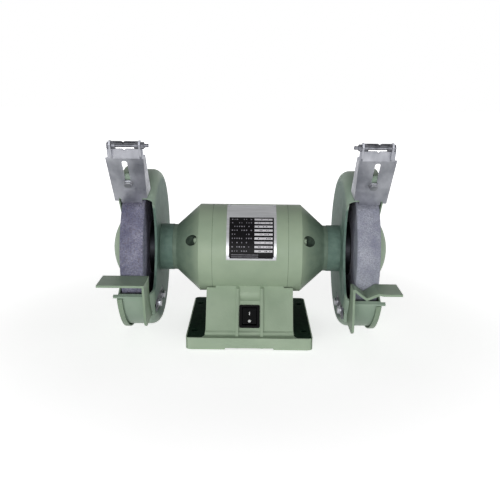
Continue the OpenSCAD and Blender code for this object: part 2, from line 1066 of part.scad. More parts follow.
module wheel_blotters() {
    color([0.75, 0.66, 0.5])
        translate([0, 0, axis_h])
            for (s = [-1, 1]) {
                mirror_if(s < 0) {
                    x_ring(hub_r + 0.2, wheel_flange_d / 2 + 2, wheel_x - blotter_t, wheel_x);
                    x_ring(hub_r + 0.2, wheel_flange_d / 2 + 2, wheel_end_x, wheel_end_x + blotter_t);
                }
            }
}

module arbor_nut(side) {
    color(steel)
        at_side(side)
            difference() {
                translate([nut_x, 0, 0])
                    rotate([0, 90, 0])
                        hex_bar(nut_af, nut_t);
                x_rod(arbor_r + fit, nut_x - over, nut_x + nut_t + over);
            }
}

// ---- guards ----

// Solid of revolution with a round edge towards the motor
module dish_profile(r, x0, x1, edge) {
    translate([0, x0 + edge])
        square([r, x1 - x0 - edge]);
    translate([0, x0])
        square([r - edge, edge + over]);
    translate([r - edge, x0 + edge])
        circle(edge);
}

module guard_screw_places() {
    for (i = [0:2]) {
        rotate([60 + i * 120, 0, 0])
            translate([0, guard_screw_pitch, 0])
                children();
    }
}

module cover_screw_places() {
    for (a = cover_screw_angles) {
        raised(a)
            translate([0, -cover_pitch_r, 0])
                children();
    }
}

module rest_bolt_places(side) {
    for (i = [0, 1]) {
        translate([0, rest_bolt_y - i * rest_bolt_spacing, slot_z(side)])
            children();
    }
}

module guard_body(side) {
    difference() {
        union() {
            x_turned()
                difference() {
                    dish_profile(guard_r, guard_x, wall_end_x, guard_edge_r);
                    dish_profile(guard_r - guard_wall, guard_in_x, wall_end_x + 9, guard_edge_r - guard_wall);
                    translate([0, guard_x - over])
                        square([neck_r - 2, 20]);
                }
            // collar on the end bell and the web that the guard screws clamp
            x_ring(spigot_r + slip, neck_r + 0.5, collar_x + slip, guard_in_x);
            x_ring(spigot_bore_r + 0.5, neck_r, web_x, web_x + web_t);
            cover_screw_places()
                x_rod(cover_boss_r, wall_end_x - 22, wall_end_x - slip);
            // pad that carries the arm of the tool rest
            translate([guard_in_x - over, rest_bolt_y - rest_bolt_spacing - 24, slot_z(side) - clamp_plate_h / 2])
                cube([arm_x - guard_in_x + over - slip, rest_bolt_spacing + 38, clamp_plate_h]);
            lip(side);
            bracket_lug();
        }
        // opening at the front
        x_prism(guard_in_x, wall_end_x + over)
            difference() {
                wedge(-open_down(side), open_up, guard_r + 10);
                circle(neck_r + 10);
            }
        // the motor side is cut back in a round where it closes the opening
        x_prism(guard_x - over, guard_in_x + over)
            intersection() {
                wedge(-open_down(side), open_up, guard_r + 10);
                translate([scoop_y, scoop_z])
                    circle(scoop_r);
            }
        // way for the arm of the tool rest through the wall
        translate([arm_x - 0.5, -guard_r - 10, slot_z(side) - arm_half_h - 2])
            cube([rest_t + 0.5 + notch_gap, guard_r, arm_half_h * 2 + 60]);
        // recess for the clamp plate
        translate([guard_x - over, rest_bolt_y - rest_bolt_spacing - rest_travel - 13, slot_z(side) - clamp_plate_h / 2 - 1])
            cube([clamp_recess + over, rest_bolt_spacing + rest_travel + 28, clamp_plate_h + 2]);
        cover_screw_places()
            x_rod(cover_screw_r + fit, wall_end_x - 14, wall_end_x + over);
        rest_bolt_places(side)
            rest_slot(rest_bolt_r + 0.3, guard_x - over, arm_x + over);
        for (i = [0:2]) {
            rotate([60 + i * 120, 0, 0])
                guard_turn_slot();
        }
    }
}

// Slot along Y for a bolt that moves with the tool rest
module rest_slot(r, x0, x1) {
    front = rest_travel + rest_slot_extra;
    back = rest_slot_extra;
    translate([0, -front, 0])
        x_rod(r, x0, x1);
    translate([0, back, 0])
        x_rod(r, x0, x1);
    translate([x0, -front, -r])
        cube([x1 - x0, front + back, 2 * r]);
}

// Curved slot in the web, so that the guard can be set round its collar
module guard_turn_slot() {
    half = guard_slot_span / 2;
    r = guard_screw_r + 0.3;
    x_turned(90 - half, guard_slot_span)
        translate([guard_screw_pitch - r + slip, web_x - over])
            square([2 * (r - slip), web_t + 2 * over]);
    for (a = [-half, half]) {
        rotate([a, 0, 0])
            translate([0, guard_screw_pitch, 0])
                x_rod(r, web_x - over, web_x + web_t + over);
    }
}

module lip(side) {
    x0 = arm_x + rest_t + 2 * notch_gap;
    raised(-open_down(side))
        translate([x0, -guard_r - lip_h, -lip_t])
            cube([cover_face_x + lip_reach - x0, lip_h + 1.5, lip_t]);
}

// Radial lug behind the shield bracket, with a web at each edge
module bracket_lug() {
    raised(open_up) {
        difference() {
            union() {
                translate([lug_x0, -lug_r, 0])
                    cube([lug_x1 - lug_x0, lug_r - guard_r + guard_wall / 2, lug_t]);
                for (x = [lug_x0, lug_x1 - 3]) {
                    x_prism(x, x + 3)
                        polygon([
                            [-guard_r + 2.5, 0],
                            [-lug_r + 10, 0],
                            [-lug_r + 10, lug_t],
                            [-guard_r + 4, 26]
                        ]);
                }
            }
            translate([slot_x, -bracket_screw_u, -over])
                cylinder(r = bracket_screw_r + fit, h = lug_t + 2 * over);
        }
    }
}

module inner_guard(side) {
    color(green)
        on_guard(side)
            guard_body(side);
}

module guard_screws() {
    color(steel)
        for (side = [LEFT, RIGHT]) {
            at_side(side)
                guard_screw_places() {
                    x_rod(guard_screw_r, spigot_x - 8, web_x + web_t + 0.5);
                    x_rod(4.3, web_x + web_t, web_x + web_t + 2.6);
                }
        }
}

// Flat plate, rim turned back over the guard, and dome over the nut
module cover_profile() {
    translate([dome_base_r - 2, cover_x])
        square([cover_r - dome_base_r + 2, cover_t]);
    translate([cover_r - cover_t, cover_face_x - cover_rim_l])
        square([cover_t, cover_rim_l]);
    intersection() {
        difference() {
            translate([0, dome_centre_x])
                circle(dome_r);
            translate([0, dome_centre_x])
                circle(dome_r - cover_t);
        }
        translate([0, cover_x])
            square([dome_r, dome_r]);
    }
}

module outer_cover(side) {
    color(green)
        on_guard(side)
            difference() {
                x_turned()
                    cover_profile();
                x_prism(cover_x - 2 * cover_rim_l, cover_face_x + over)
                    difference() {
                        wedge(-open_down(side) - 2.2, open_up + 0.6, cover_r + 10);
                        circle(dome_base_r + dome_collar);
                    }
                cover_screw_places()
                    x_rod(cover_screw_r + 0.3, cover_x - over, cover_face_x + over);
            }
}

module cover_screws() {
    color(steel)
        for (side = [LEFT, RIGHT]) {
            on_guard(side)
                cover_screw_places() {
                    x_rod(cover_screw_r, wall_end_x - 13, cover_face_x + 0.5);
                    x_rod(3.6, cover_face_x, cover_face_x + 2);
                }
        }
}

// ---- tool rests ----

module arm_shape(side, front_y) {
    back = rest_back_y(side);
    tip_y = rest_front_y(side) + arm_tip_y;
    low = slot_z(side) - arm_half_h;
    high = slot_z(side) + arm_half_h;
    polygon([
        [back, -rest_drop(side)],
        [front_y, -rest_drop(side)],
        [tip_y, low + arm_tip_h],
        [tip_y + 8, low],
        [rest_bolt_y + 10, low],
        [rest_bolt_y + 10, high - 3],
        [back + 17, high],
        [back, high + 18]
    ]);
}

module rest_arm(side, front_y) {
    difference() {
        x_prism(arm_x, arm_x + rest_t)
            arm_shape(side, front_y);
        rest_bolt_places(side)
            x_rod(rest_bolt_r + fit, arm_x - over, arm_x + rest_t + over);
    }
}

module left_tool_rest() {
    color(green)
        on_guard(LEFT) {
            rest_arm(LEFT, rest_front_y(LEFT));
            translate([arm_x, rest_front_y(LEFT), -left_rest_drop - rest_t])
                cube([rest_outer_x - arm_x, rest_depth, rest_t]);
        }
}

module right_tool_rest() {
    front = rest_front_y(RIGHT);
    arm_front = front + groove_back + 5;
    plain_x = groove_x + groove_w / 2 + 5;
    color(green)
        on_guard(RIGHT) {
            rest_arm(RIGHT, arm_front);
            difference() {
                translate([0, rest_back_y(RIGHT), -right_rest_drop])
                    rotate([90, 0, 0])
                        linear_extrude(rest_depth)
                            groove_profile();
                // front edge swept back to the groove
                translate([0, 0, slot_z(RIGHT)])
                    linear_extrude(arm_drop + over)
                        polygon([
                            [arm_x - over, front - over],
                            [arm_x - over, arm_front],
                            [arm_x + rest_t, arm_front],
                            [groove_x, front + groove_back],
                            [plain_x, front],
                            [plain_x, front - over]
                        ]);
            }
        }
}

// Flat plate with a V groove next to the arm
module groove_profile() {
    half = groove_w / 2;
    slope = atan(groove_depth / half);
    drop = rest_t / cos(slope);
    polygon([
        [arm_x + 0.5, 0],
        [groove_x - half, 0],
        [groove_x, -groove_depth],
        [groove_x + half, 0],
        [rest_outer_x, 0],
        [rest_outer_x, -rest_t],
        [groove_x + half + (drop - rest_t) / tan(slope), -rest_t],
        [groove_x, -groove_depth - drop],
        [groove_x - half, -drop],
        [arm_x + 0.5, -drop]
    ]);
}

module clamp_plate(side) {
    color([0.16, 0.17, 0.2])
        on_guard(side)
            difference() {
                translate([clamp_face_x, rest_bolt_y - rest_bolt_spacing - 12, slot_z(side) - clamp_plate_h / 2])
                    cube([clamp_plate_t, rest_bolt_spacing + 24, clamp_plate_h]);
                rest_bolt_places(side)
                    x_rod(rest_bolt_r + 0.2, guard_x - 10, guard_x + 5);
            }
}

module rest_bolts(side) {
    head_x = clamp_face_x - rest_washer_t;
    color(zinc)
        on_guard(side)
            rest_bolt_places(side) {
                x_rod(rest_bolt_r, head_x - 1, arm_x + rest_t + 0.5);
                x_rod(rest_washer_r, head_x, clamp_face_x);
                translate([head_x - rest_bolt_head, 0, 0])
                    rotate([0, 90, 0])
                        hex_bar(rest_bolt_af, rest_bolt_head);
            }
}

// ---- shield brackets ----

// Bracket frame: X along the shaft, -Y outwards, -Z towards the front
module at_bracket(side) {
    on_guard(side)
        raised(open_up)
            children();
}

module bracket_plate_shape() {
    difference() {
        polygon([
            [bracket_x0, -bracket_low_r],
            [tongue_x0, -bracket_low_r],
            [tongue_x0, -tongue_r],
            [tongue_x1, -tongue_r],
            [tongue_x1, -bracket_low_r],
            [bracket_x1 - bracket_ear_w - 1, -bracket_low_r],
            [bracket_x1 - bracket_ear_w, -bracket_low_r + bracket_ear_h],
            [bracket_x1, -bracket_low_r + bracket_ear_h],
            [bracket_x1, -bracket_high_r],
            [bracket_top_x0, -bracket_high_r]
        ]);
        for (u = [slot_low + slot_w / 2, slot_high - slot_w / 2]) {
            translate([slot_x, -u])
                circle(slot_w / 2);
        }
        translate([slot_x - slot_w / 2, -slot_high + slot_w / 2])
            square([slot_w, slot_high - slot_low - slot_w]);
    }
}

module side_flange() {
    run = bracket_x0 - bracket_top_x0;
    slant = atan(run / bracket_l);
    length = sqrt(pow(run, 2) + pow(bracket_l, 2));
    translate([bracket_x0, -bracket_low_r, -bracket_gap])
        rotate([0, 0, -slant])
            difference() {
                translate([0, -0.5, 0])
                    rotate([90, 0, 0])
                        linear_extrude(length - 0.5)
                            polygon([
                                [0, -bracket_t],
                                [bracket_t * 1.2, -bracket_t],
                                [bracket_t * 1.2, 0],
                                [bracket_t - side_flange_out, side_flange_l],
                                [-side_flange_out, side_flange_l]
                            ]);
                // the flange gets lower towards the top
                translate([-30, -length, side_flange_top])
                    rotate([atan((side_flange_l - side_flange_top) / length), 0, 0])
                        translate([0, -10, 0])
                            cube([60, length + 40, 40]);
            }
}

module shield_bracket(side) {
    color(zinc)
        at_bracket(side)
            difference() {
                union() {
                    translate([0, 0, -bracket_gap - bracket_t])
                        linear_extrude(bracket_t)
                            bracket_plate_shape();
                    side_flange();
                    // top strip bent back
                    translate([bracket_top_x0, -bracket_high_r, -bracket_gap - bracket_t])
                        rotate([-strip_bend, 0, 0])
                            translate([0, -strip_l, 0])
                                cube([bracket_x1 - bracket_top_x0 - 3, strip_l + 0.2, bracket_t]);
                    for (x = [ear_x0, ear_x1 - ear_t]) {
                        ear(x);
                    }
                }
                translate([0, -rod_u, rod_z])
                    x_rod(rod_r + 0.05, ear_x0 - 5, ear_x1 + 5);
                translate([clamp_mid_x, -bracket_high_r - strip_l + 1, -10])
                    cylinder(r = strip_hole_r, h = 20);
            }
}

module ear(x) {
    x_prism(x, x + ear_t)
        polygon([
            [-bracket_high_r + 1, -bracket_t - bracket_gap],
            [-bracket_high_r - 7, -bracket_t - 3],
            [-rod_u - 5, rod_z - 4],
            [-bracket_high_r - ear_h, rod_z],
            [-rod_u - 4, rod_z + 5],
            [-rod_u + 6, rod_z + 5],
            [-bracket_high_r + 1, -bracket_gap]
        ]);
}

module hinge_rod(side) {
    color(steel)
        at_bracket(side)
            translate([0, -rod_u, rod_z]) {
                x_rod(rod_r, rod_x0, rod_x1);
                translate([ear_x1 + 0.1, 0, 0])
                    rotate([0, 90, 0])
                        hex_bar(8, rod_x1 - ear_x1 - 0.1);
            }
}

module rod_nut(side) {
    color(zinc)
        at_bracket(side)
            translate([ear_x0 - rod_nut_t - 0.1, -rod_u, rod_z])
                difference() {
                    rotate([0, 90, 0])
                        hex_bar(8, rod_nut_t);
                    x_rod(rod_r + fit, -over, rod_nut_t + over);
                }
}

// Bar on the hinge rod that grips an eye shield, notched in the middle
module shield_clamp(side) {
    x0 = ear_x0 + ear_t + 0.3;
    x1 = ear_x1 - ear_t - 0.3;
    low = rod_r + 0.6;
    color([0.2, 0.2, 0.22])
        at_bracket(side)
            translate([0, -rod_u, rod_z])
                difference() {
                    union() {
                        for (x = [x0, x1 - knuckle_l]) {
                            x_rod(clamp_r, x, x + knuckle_l);
                            translate([x, -low - 1, -clamp_bar_t / 2])
                                cube([knuckle_l, low + 1, clamp_bar_t]);
                        }
                        translate([x0, -clamp_bar_h, -clamp_bar_t / 2])
                            cube([x1 - x0, clamp_bar_h - low, clamp_bar_t]);
                    }
                    x_rod(rod_r + 0.06, x0 - over, x1 + over);
                    translate([clamp_mid_x, -clamp_bar_h, 0])
                        rotate([0, 0, 45])
                            cube([clamp_notch_w / sqrt(2), clamp_notch_w / sqrt(2), 20], center = true);
                    // groove for the shield
                    translate([x0 + 3, -clamp_bar_h - over, -clamp_groove_w / 2])
                        cube([x1 - x0 - 6, clamp_groove_h + over, clamp_groove_w]);
                }
}

module bracket_screws() {
    color(zinc)
        for (side = [LEFT, RIGHT]) {
            at_bracket(side)
                translate([slot_x, -bracket_screw_u, 0]) {
                    translate([0, 0, -bracket_t - bracket_hex_t - 1.3])
                        cylinder(
                            r = bracket_screw_r,
                            h = bracket_t + bracket_hex_t + 1.3 + lug_t + bracket_nut_t + over
                        );
                    translate([0, 0, -bracket_t - 2 * bracket_gap - bracket_washer_t])
                        cylinder(r = bracket_washer_r, h = bracket_washer_t);
                    translate([0, 0, -bracket_t - 2 * bracket_gap - bracket_hex_t - 1.3])
                        hex_bar(bracket_hex_af, bracket_hex_t);
                    translate([0, 0, lug_t])
                        hex_bar(bracket_hex_af, bracket_nut_t);
                }
        }
}

base_casting();
bottom_plate();
bottom_plate_screws();
cable_gland();
capacitor();
capacitor_clamp();
terminal_block();
switch_housing();
switch_rocker();
motor_shell();
end_bell(LEFT);  // left_end_bell
end_bell(RIGHT);  // right_end_bell
through_bolts();
stator_core();
stator_windings();
bearing_outer(LEFT);  // left_bearing_outer
bearing_outer(RIGHT);  // right_bearing_outer
wave_washer();
saddle_bolts();
nameplate();
nameplate_rivets();
inner_guard(LEFT);  // left_inner_guard
inner_guard(RIGHT);  // right_inner_guard
guard_screws();
outer_cover(LEFT);  // left_outer_cover
outer_cover(RIGHT);  // right_outer_cover
cover_screws();
bracket_screws();
shaft();
rotor_core();
rotor_end_rings();
bearing_inner(LEFT);  // left_bearing_inner
bearing_inner(RIGHT);  // right_bearing_inner
inner_flanges();
outer_flanges();
wheel(LEFT, [0.33, 0.31, 0.35]);  // left_wheel
wheel(RIGHT, [0.5, 0.5, 0.54]);  // right_wheel
wheel_blotters();
arbor_nut(LEFT);  // left_arbor_nut
arbor_nut(RIGHT);  // right_arbor_nut
bearing_balls(LEFT);  // left_bearing_balls
bearing_balls(RIGHT);  // right_bearing_balls
left_tool_rest();
right_tool_rest();
rest_bolts(LEFT);  // left_rest_bolts
rest_bolts(RIGHT);  // right_rest_bolts
clamp_plate(LEFT);  // left_clamp_plate
clamp_plate(RIGHT);  // right_clamp_plate
shield_bracket(LEFT);  // left_shield_bracket
shield_bracket(RIGHT);  // right_shield_bracket
hinge_rod(LEFT);  // left_hinge_rod
hinge_rod(RIGHT);  // right_hinge_rod
rod_nut(LEFT);  // left_rod_nut
rod_nut(RIGHT);  // right_rod_nut
shield_clamp(LEFT);  // left_shield_clamp
shield_clamp(RIGHT);  // right_shield_clamp
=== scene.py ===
# %% [markdown]
# # A bench grinder, dressed piece by piece
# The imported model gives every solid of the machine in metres, in one shared
# frame: X runs along the shaft, -Y is the front and Z is up from the bench.
# This lesson keeps those solids where they are. It rounds the edges that a
# foundry or a press would round, gives each surface its real finish, and adds
# the small things that were only blocked out: grit on the wheels, recessed
# screw heads, the printed plate and the marks on the switch.

# %% Load the frame
import json
import math

import bmesh
import bpy
from mathutils import Matrix, Vector

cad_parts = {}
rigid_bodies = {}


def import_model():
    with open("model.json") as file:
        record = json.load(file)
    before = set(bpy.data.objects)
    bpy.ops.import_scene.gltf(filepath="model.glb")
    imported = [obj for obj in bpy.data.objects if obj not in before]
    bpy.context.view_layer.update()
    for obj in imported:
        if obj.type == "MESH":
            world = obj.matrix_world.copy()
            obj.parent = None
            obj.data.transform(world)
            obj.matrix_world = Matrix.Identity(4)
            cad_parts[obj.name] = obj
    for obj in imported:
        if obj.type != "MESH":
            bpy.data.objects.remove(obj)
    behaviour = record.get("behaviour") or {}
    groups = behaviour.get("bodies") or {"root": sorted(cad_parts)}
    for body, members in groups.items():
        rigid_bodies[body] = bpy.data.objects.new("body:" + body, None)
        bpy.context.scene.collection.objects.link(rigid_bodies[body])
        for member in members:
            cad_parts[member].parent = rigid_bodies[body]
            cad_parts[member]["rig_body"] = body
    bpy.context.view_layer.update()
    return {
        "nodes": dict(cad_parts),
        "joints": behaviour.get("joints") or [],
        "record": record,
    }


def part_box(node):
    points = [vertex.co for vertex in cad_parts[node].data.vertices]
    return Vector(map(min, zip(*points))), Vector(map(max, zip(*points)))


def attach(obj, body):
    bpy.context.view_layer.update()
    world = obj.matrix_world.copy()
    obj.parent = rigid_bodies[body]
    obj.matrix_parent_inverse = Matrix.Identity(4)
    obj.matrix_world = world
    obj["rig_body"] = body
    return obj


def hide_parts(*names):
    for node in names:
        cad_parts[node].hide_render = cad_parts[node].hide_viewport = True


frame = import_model()
nodes = frame["nodes"]
body_of_node = {name: piece["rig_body"] for name, piece in nodes.items()}
MM = 0.001

# %% [markdown]
# ## The camera
# The view is that of someone standing at the bench: straight on, about a metre
# away, and looking down by some fourteen degrees. The lens is slightly longer
# than normal. It comes first, because every later choice of grain size and
# edge width depends on how much of the picture a millimetre takes.

# %% Camera
EYE = Vector((0.0006, -1.046, 0.3809))
LOOK_DOWN = math.radians(13.97)
TURN = math.radians(-0.05)
TILT = math.radians(0.63)
PICTURE = 500
FOCAL_PIXELS = 725.8
SENSOR = 36.0

ahead = Vector((
    math.sin(TURN) * math.cos(LOOK_DOWN),
    math.cos(TURN) * math.cos(LOOK_DOWN),
    -math.sin(LOOK_DOWN),
))
level_right = Vector((math.cos(TURN), -math.sin(TURN), 0.0))
level_up = level_right.cross(ahead)
right = level_right * math.cos(TILT) + level_up * math.sin(TILT)
up = level_up * math.cos(TILT) - level_right * math.sin(TILT)

camera = bpy.data.objects.new("camera", bpy.data.cameras.new("camera"))
bpy.context.scene.collection.objects.link(camera)
camera.data.sensor_width = SENSOR
camera.data.lens = FOCAL_PIXELS / PICTURE * SENSOR
camera.matrix_world = Matrix((
    (right.x, up.x, -ahead.x, EYE.x),
    (right.y, up.y, -ahead.y, EYE.y),
    (right.z, up.z, -ahead.z, EYE.z),
    (0, 0, 0, 1),
))
bpy.context.scene.camera = camera
print("lens", round(camera.data.lens, 1), "mm")

# %% [markdown]
# ## Building materials from nodes
# A finish is a small graph: patterns feed the colour, the roughness and a bump
# of the one shader at the end. A few helpers are enough. One turns a colour as
# it is written on a paint card into the linear light values that the shader
# wants. One adds a node with its settings and its links. The last gives the
# scale of a pattern from the size of its features.

# %% Helpers for materials
def paint(hex_code):
    """A colour from a paint card, #rrggbb, as linear light with full cover."""
    parts = [int(hex_code[i:i + 2], 16) / 255 for i in (1, 3, 5)]
    return tuple(c / 12.92 if c <= 0.04045 else ((c + 0.055) / 1.055) ** 2.4 for c in parts) + (1.0,)


def put(tree, kind, sockets=None, **settings):
    """Adds one node. sockets maps an input's name or number to a value or to another output."""
    node = tree.nodes.new(kind)
    for name, value in settings.items():
        setattr(node, name, value)
    for key, value in (sockets or {}).items():
        if isinstance(value, bpy.types.NodeSocket):
            tree.links.new(value, node.inputs[key])
        else:
            node.inputs[key].default_value = value
    return node


def per_mm(size_mm):
    """The scale of a pattern whose features are size_mm wide, in a scene in metres."""
    return 1.0 / (size_mm * MM)


print("a card of #808080 is", round(paint("#808080")[0], 3), "in linear light")


# %% A finish made of patterns
def start_material(name, **shader_values):
    """An empty material with its shader, and the place on the piece that patterns read."""
    material = bpy.data.materials.new(name)
    material.use_nodes = True
    tree = material.node_tree
    tree.nodes.clear()
    shader = put(tree, "ShaderNodeBsdfPrincipled", shader_values)
    put(tree, "ShaderNodeOutputMaterial", {"Surface": shader.outputs[0]})
    place = put(tree, "ShaderNodeTexCoord").outputs["Object"]
    return material, tree, shader, place


def speckle(tree, place, size_mm, low, high, detail=2.0, stretch=None):
    """Cloudy noise with features of size_mm, spread to run from low to high."""
    if stretch:
        place = put(tree, "ShaderNodeMapping", {"Vector": place, "Scale": stretch}).outputs[0]
    noise = put(tree, "ShaderNodeTexNoise", {
        "Vector": place, "Scale": per_mm(size_mm), "Detail": detail,
    })
    return put(tree, "ShaderNodeMapRange", {
        "Value": noise.outputs["Fac"], "From Min": 0.3, "From Max": 0.7, "To Min": low, "To Max": high,
    }).outputs[0]


def clouds(tree, place, size_mm, dark, light, detail, stretch=None):
    """Cloudy shades from one colour to the other, with features of size_mm."""
    factor = speckle(tree, place, size_mm, 0.0, 1.0, detail, stretch)
    return put(tree, "ShaderNodeMix", {
        0: factor, 6: paint(dark), 7: paint(light),
    }, data_type="RGBA").outputs[2]


def cover(tree, shader, colour, roughness, height, depth_mm):
    """Gives the shader its colour, its roughness and a relief of depth_mm."""
    relief = put(tree, "ShaderNodeBump", {"Height": height, "Distance": depth_mm * MM, "Strength": 1.0})
    sources = {"Base Color": colour, "Roughness": roughness, "Normal": relief.outputs[0]}
    for socket, source in sources.items():
        tree.links.new(source, shader.inputs[socket])


def plain_finish(name, dark, light, grain_mm, depth_mm, rough, stretch=None, **shader_values):
    """A finish whose colour, roughness and relief all follow one grain."""
    material, tree, shader, place = start_material(name, **shader_values)
    colour = clouds(tree, place, grain_mm * 6, dark, light, 3.0, stretch)
    fine = speckle(tree, place, grain_mm, rough[0], rough[1], 2.0, stretch)
    height = speckle(tree, place, grain_mm, 0.0, 1.0, 3.0, stretch)
    cover(tree, shader, colour, fine, height, depth_mm)
    return material


print("a grain of 2 mm takes a pattern scale of", per_mm(2))

# %% [markdown]
# ## Stoved enamel
# The castings, guards and rests wear one grey-green enamel, sprayed and baked.
# Sprayed paint is never quite flat: it keeps a fine orange peel a few
# millimetres across, and under it the skin of the casting shows as slow waves.
# The cast parts get the deeper version and the pressed sheet the smoother one.

# %% Enamel on cast iron and on sheet
def enamel(name, dark, light, skin_depth_mm, sheen):
    """Orange peel of 2.5 mm over the skin of the metal, 14 mm across."""
    material, tree, shader, place = start_material(name, **{"IOR": 1.5, "Specular IOR Level": sheen})
    colour = clouds(tree, place, 35, dark, light, 2.0)
    gloss = speckle(tree, place, 9, 0.34, 0.46, 3.0)
    skin = speckle(tree, place, 14, 0.0, 1.0, 1.0)
    peel = speckle(tree, place, 2.5, 0.0, 1.0, 2.0)
    height = put(tree, "ShaderNodeMath", {0: skin, 1: peel}, operation="ADD").outputs[0]
    cover(tree, shader, colour, gloss, height, skin_depth_mm)
    return material


cast_enamel = enamel("stoved_enamel_on_cast_iron", "#9daf98", "#a9baa3", 0.09, 0.10)
shell_enamel = enamel("stoved_enamel_on_steel_tube", "#9fb199", "#aabba2", 0.04, 0.12)
guard_coat = enamel("stoved_enamel_on_guard_casting", "#96aa99", "#a3b5a4", 0.08, 0.07)
sheet_enamel = enamel("stoved_enamel_on_sheet", "#8da08b", "#98ab94", 0.04, 0.10)
print("enamels:", [m.name for m in (cast_enamel, shell_enamel, guard_coat, sheet_enamel)])

# %% [markdown]
# ## Painted shade and grime on the castings
# The level top of the base flange, which lies under the motor and the guards,
# is painted a deep, almost black green as painted shade, and the bolt holes
# with it. The inside of each wheel guard is painted near black as painted shade.
# The sides of the guards that face the motor, the cones and necks of the end
# bells and the pockets of the through bolts are painted darker, also as painted
# shade. Grime stays in the seams of the motor. Each of these is a colour of its
# own inside a region, so one function mixes it in. A region is worked out from
# the place on the piece, and fades in over a soft step, which is given as where
# it begins and where it is full.

# %% Regions of the castings
SHAFT_HEIGHT = 0.125


def coordinates(tree):
    """The distance from the middle plane, the depth and the height over the shaft of a point."""
    place = put(tree, "ShaderNodeTexCoord").outputs["Object"]
    x, y, z = put(tree, "ShaderNodeSeparateXYZ", {0: place}).outputs
    aside = put(tree, "ShaderNodeMath", {0: x}, operation="ABSOLUTE").outputs[0]
    up = put(tree, "ShaderNodeMath", {0: z, 1: SHAFT_HEIGHT}, operation="SUBTRACT").outputs[0]
    return aside, y, up


def from_shaft(tree, y, up):
    """The distance from the line of the shaft."""
    spoke = put(tree, "ShaderNodeCombineXYZ", {"Y": y, "Z": up}).outputs[0]
    return put(tree, "ShaderNodeVectorMath", {0: spoke}, operation="LENGTH").outputs["Value"]


def past_corner(tree, across, along):
    """How far a point lies past a corner, counting only what is past it."""
    both = put(tree, "ShaderNodeCombineXYZ", {"X": across, "Y": along}).outputs[0]
    past = put(tree, "ShaderNodeVectorMath", {0: both, 1: (0.0, 0.0, 0.0)}, operation="MAXIMUM").outputs[0]
    return put(tree, "ShaderNodeVectorMath", {0: past}, operation="LENGTH").outputs["Value"]


def overlap(tree, *steps):
    """1 where every soft step is full: each is a value, where it begins and where it is full."""
    region = 1.0
    for value, start, full in steps:
        step = put(tree, "ShaderNodeMapRange", {"Value": value, "From Min": start, "From Max": full},
                   interpolation_type="SMOOTHSTEP").outputs[0]
        region = put(tree, "ShaderNodeMath", {0: region, 1: step}, operation="MULTIPLY").outputs[0]
    return region


print("regions are measured from the shaft, which lies", SHAFT_HEIGHT / MM, "mm over the bench")


# %% The flange top, darkened with painted shade
FLANGE = (0.089, 0.094, 0.017)
FLANGE_ROUND = (0.0012, 0.0020)
PAINTED_SHADE_CORNER = (0.006, 0.018)
COLUMN_HALF = 0.0625
COLUMN_FRONT = -0.0915


def flange_top(tree):
    """The level top beside the column and its bolt holes, with a round inner corner in front."""
    x, y, up = coordinates(tree)
    wide, deep = PAINTED_SHADE_CORNER
    across = put(tree, "ShaderNodeMapRange", {
        "Value": x, "From Min": COLUMN_HALF + wide, "From Max": COLUMN_HALF,
    }, clamp=False).outputs[0]
    along = put(tree, "ShaderNodeMapRange", {
        "Value": y, "From Min": COLUMN_FRONT + deep, "From Max": COLUMN_FRONT,
    }, clamp=False).outputs[0]
    half_width, half_depth, top = FLANGE
    outer, inner = FLANGE_ROUND
    level = top - SHAFT_HEIGHT
    depth = put(tree, "ShaderNodeMath", {0: y}, operation="ABSOLUTE").outputs[0]
    return overlap(
        tree,
        (past_corner(tree, across, along), 1.04, 0.96),
        (x, half_width - outer, half_width - inner),
        (depth, half_depth - outer, half_depth - inner),
        (up, level + 0.0030, level + 0.0004),
    )


print("flange top", FLANGE[2] / MM, "mm over the bench")


# %% The inside and the side of a guard
GUARD_EDGE = (0.144, 0.100)
GUARD_SKIN = (0.0109, 0.0107)
GUARD_FACE = (0.144, 0.1365)
GUARD_RIM = (0.108, 0.098)


def guard_inside(tree):
    """The inner skin of a guard, which lies 10.5 mm from the middle of its round edge."""
    x, y, up = coordinates(tree)
    edge_x, edge_radius = GUARD_EDGE
    across = put(tree, "ShaderNodeMath", {0: edge_x, 1: x}, operation="SUBTRACT").outputs[0]
    radius = from_shaft(tree, y, up)
    along = put(tree, "ShaderNodeMath", {0: radius, 1: edge_radius}, operation="SUBTRACT").outputs[0]
    return overlap(tree, (past_corner(tree, across, along), *GUARD_SKIN))


def guard_side(tree):
    """The round side of a guard that faces the motor, short of its rounded rim."""
    x, y, up = coordinates(tree)
    return overlap(tree, (x, *GUARD_FACE), (from_shaft(tree, y, up), *GUARD_RIM))


# The guard sides are painted darker within this radius: painted shade.
print("guard sides darkened with painted shade within", GUARD_RIM[1] / MM, "mm of the shaft")


# %% The parts of an end bell
BELL_CONE = (0.071, 0.088)
BELL_NECK = (0.084, 0.104)
SEAM_IN = (0.0527, 0.0531)
SEAM_OUT = (0.0541, 0.0537)
BOLT_CIRCLE = 0.0545
BOLT_LEAN = math.radians(23)
BOLT_HEAD = (0.0049, 0.0053)
POCKET_WALL = (0.0079, 0.0076)
POCKET_FLOOR = (0.0745, 0.0749)


def bell_cone(tree):
    """From where an end bell leaves the tube's width to where its cone is half way down."""
    return overlap(tree, (coordinates(tree)[0], *BELL_CONE))


def bell_neck(tree):
    """The far half of each cone and the neck beyond it."""
    return overlap(tree, (coordinates(tree)[0], *BELL_NECK))


def bell_seam(tree):
    """The joint between the tube and the rim of an end bell."""
    x = coordinates(tree)[0]
    return overlap(tree, (x, *SEAM_IN), (x, *SEAM_OUT))


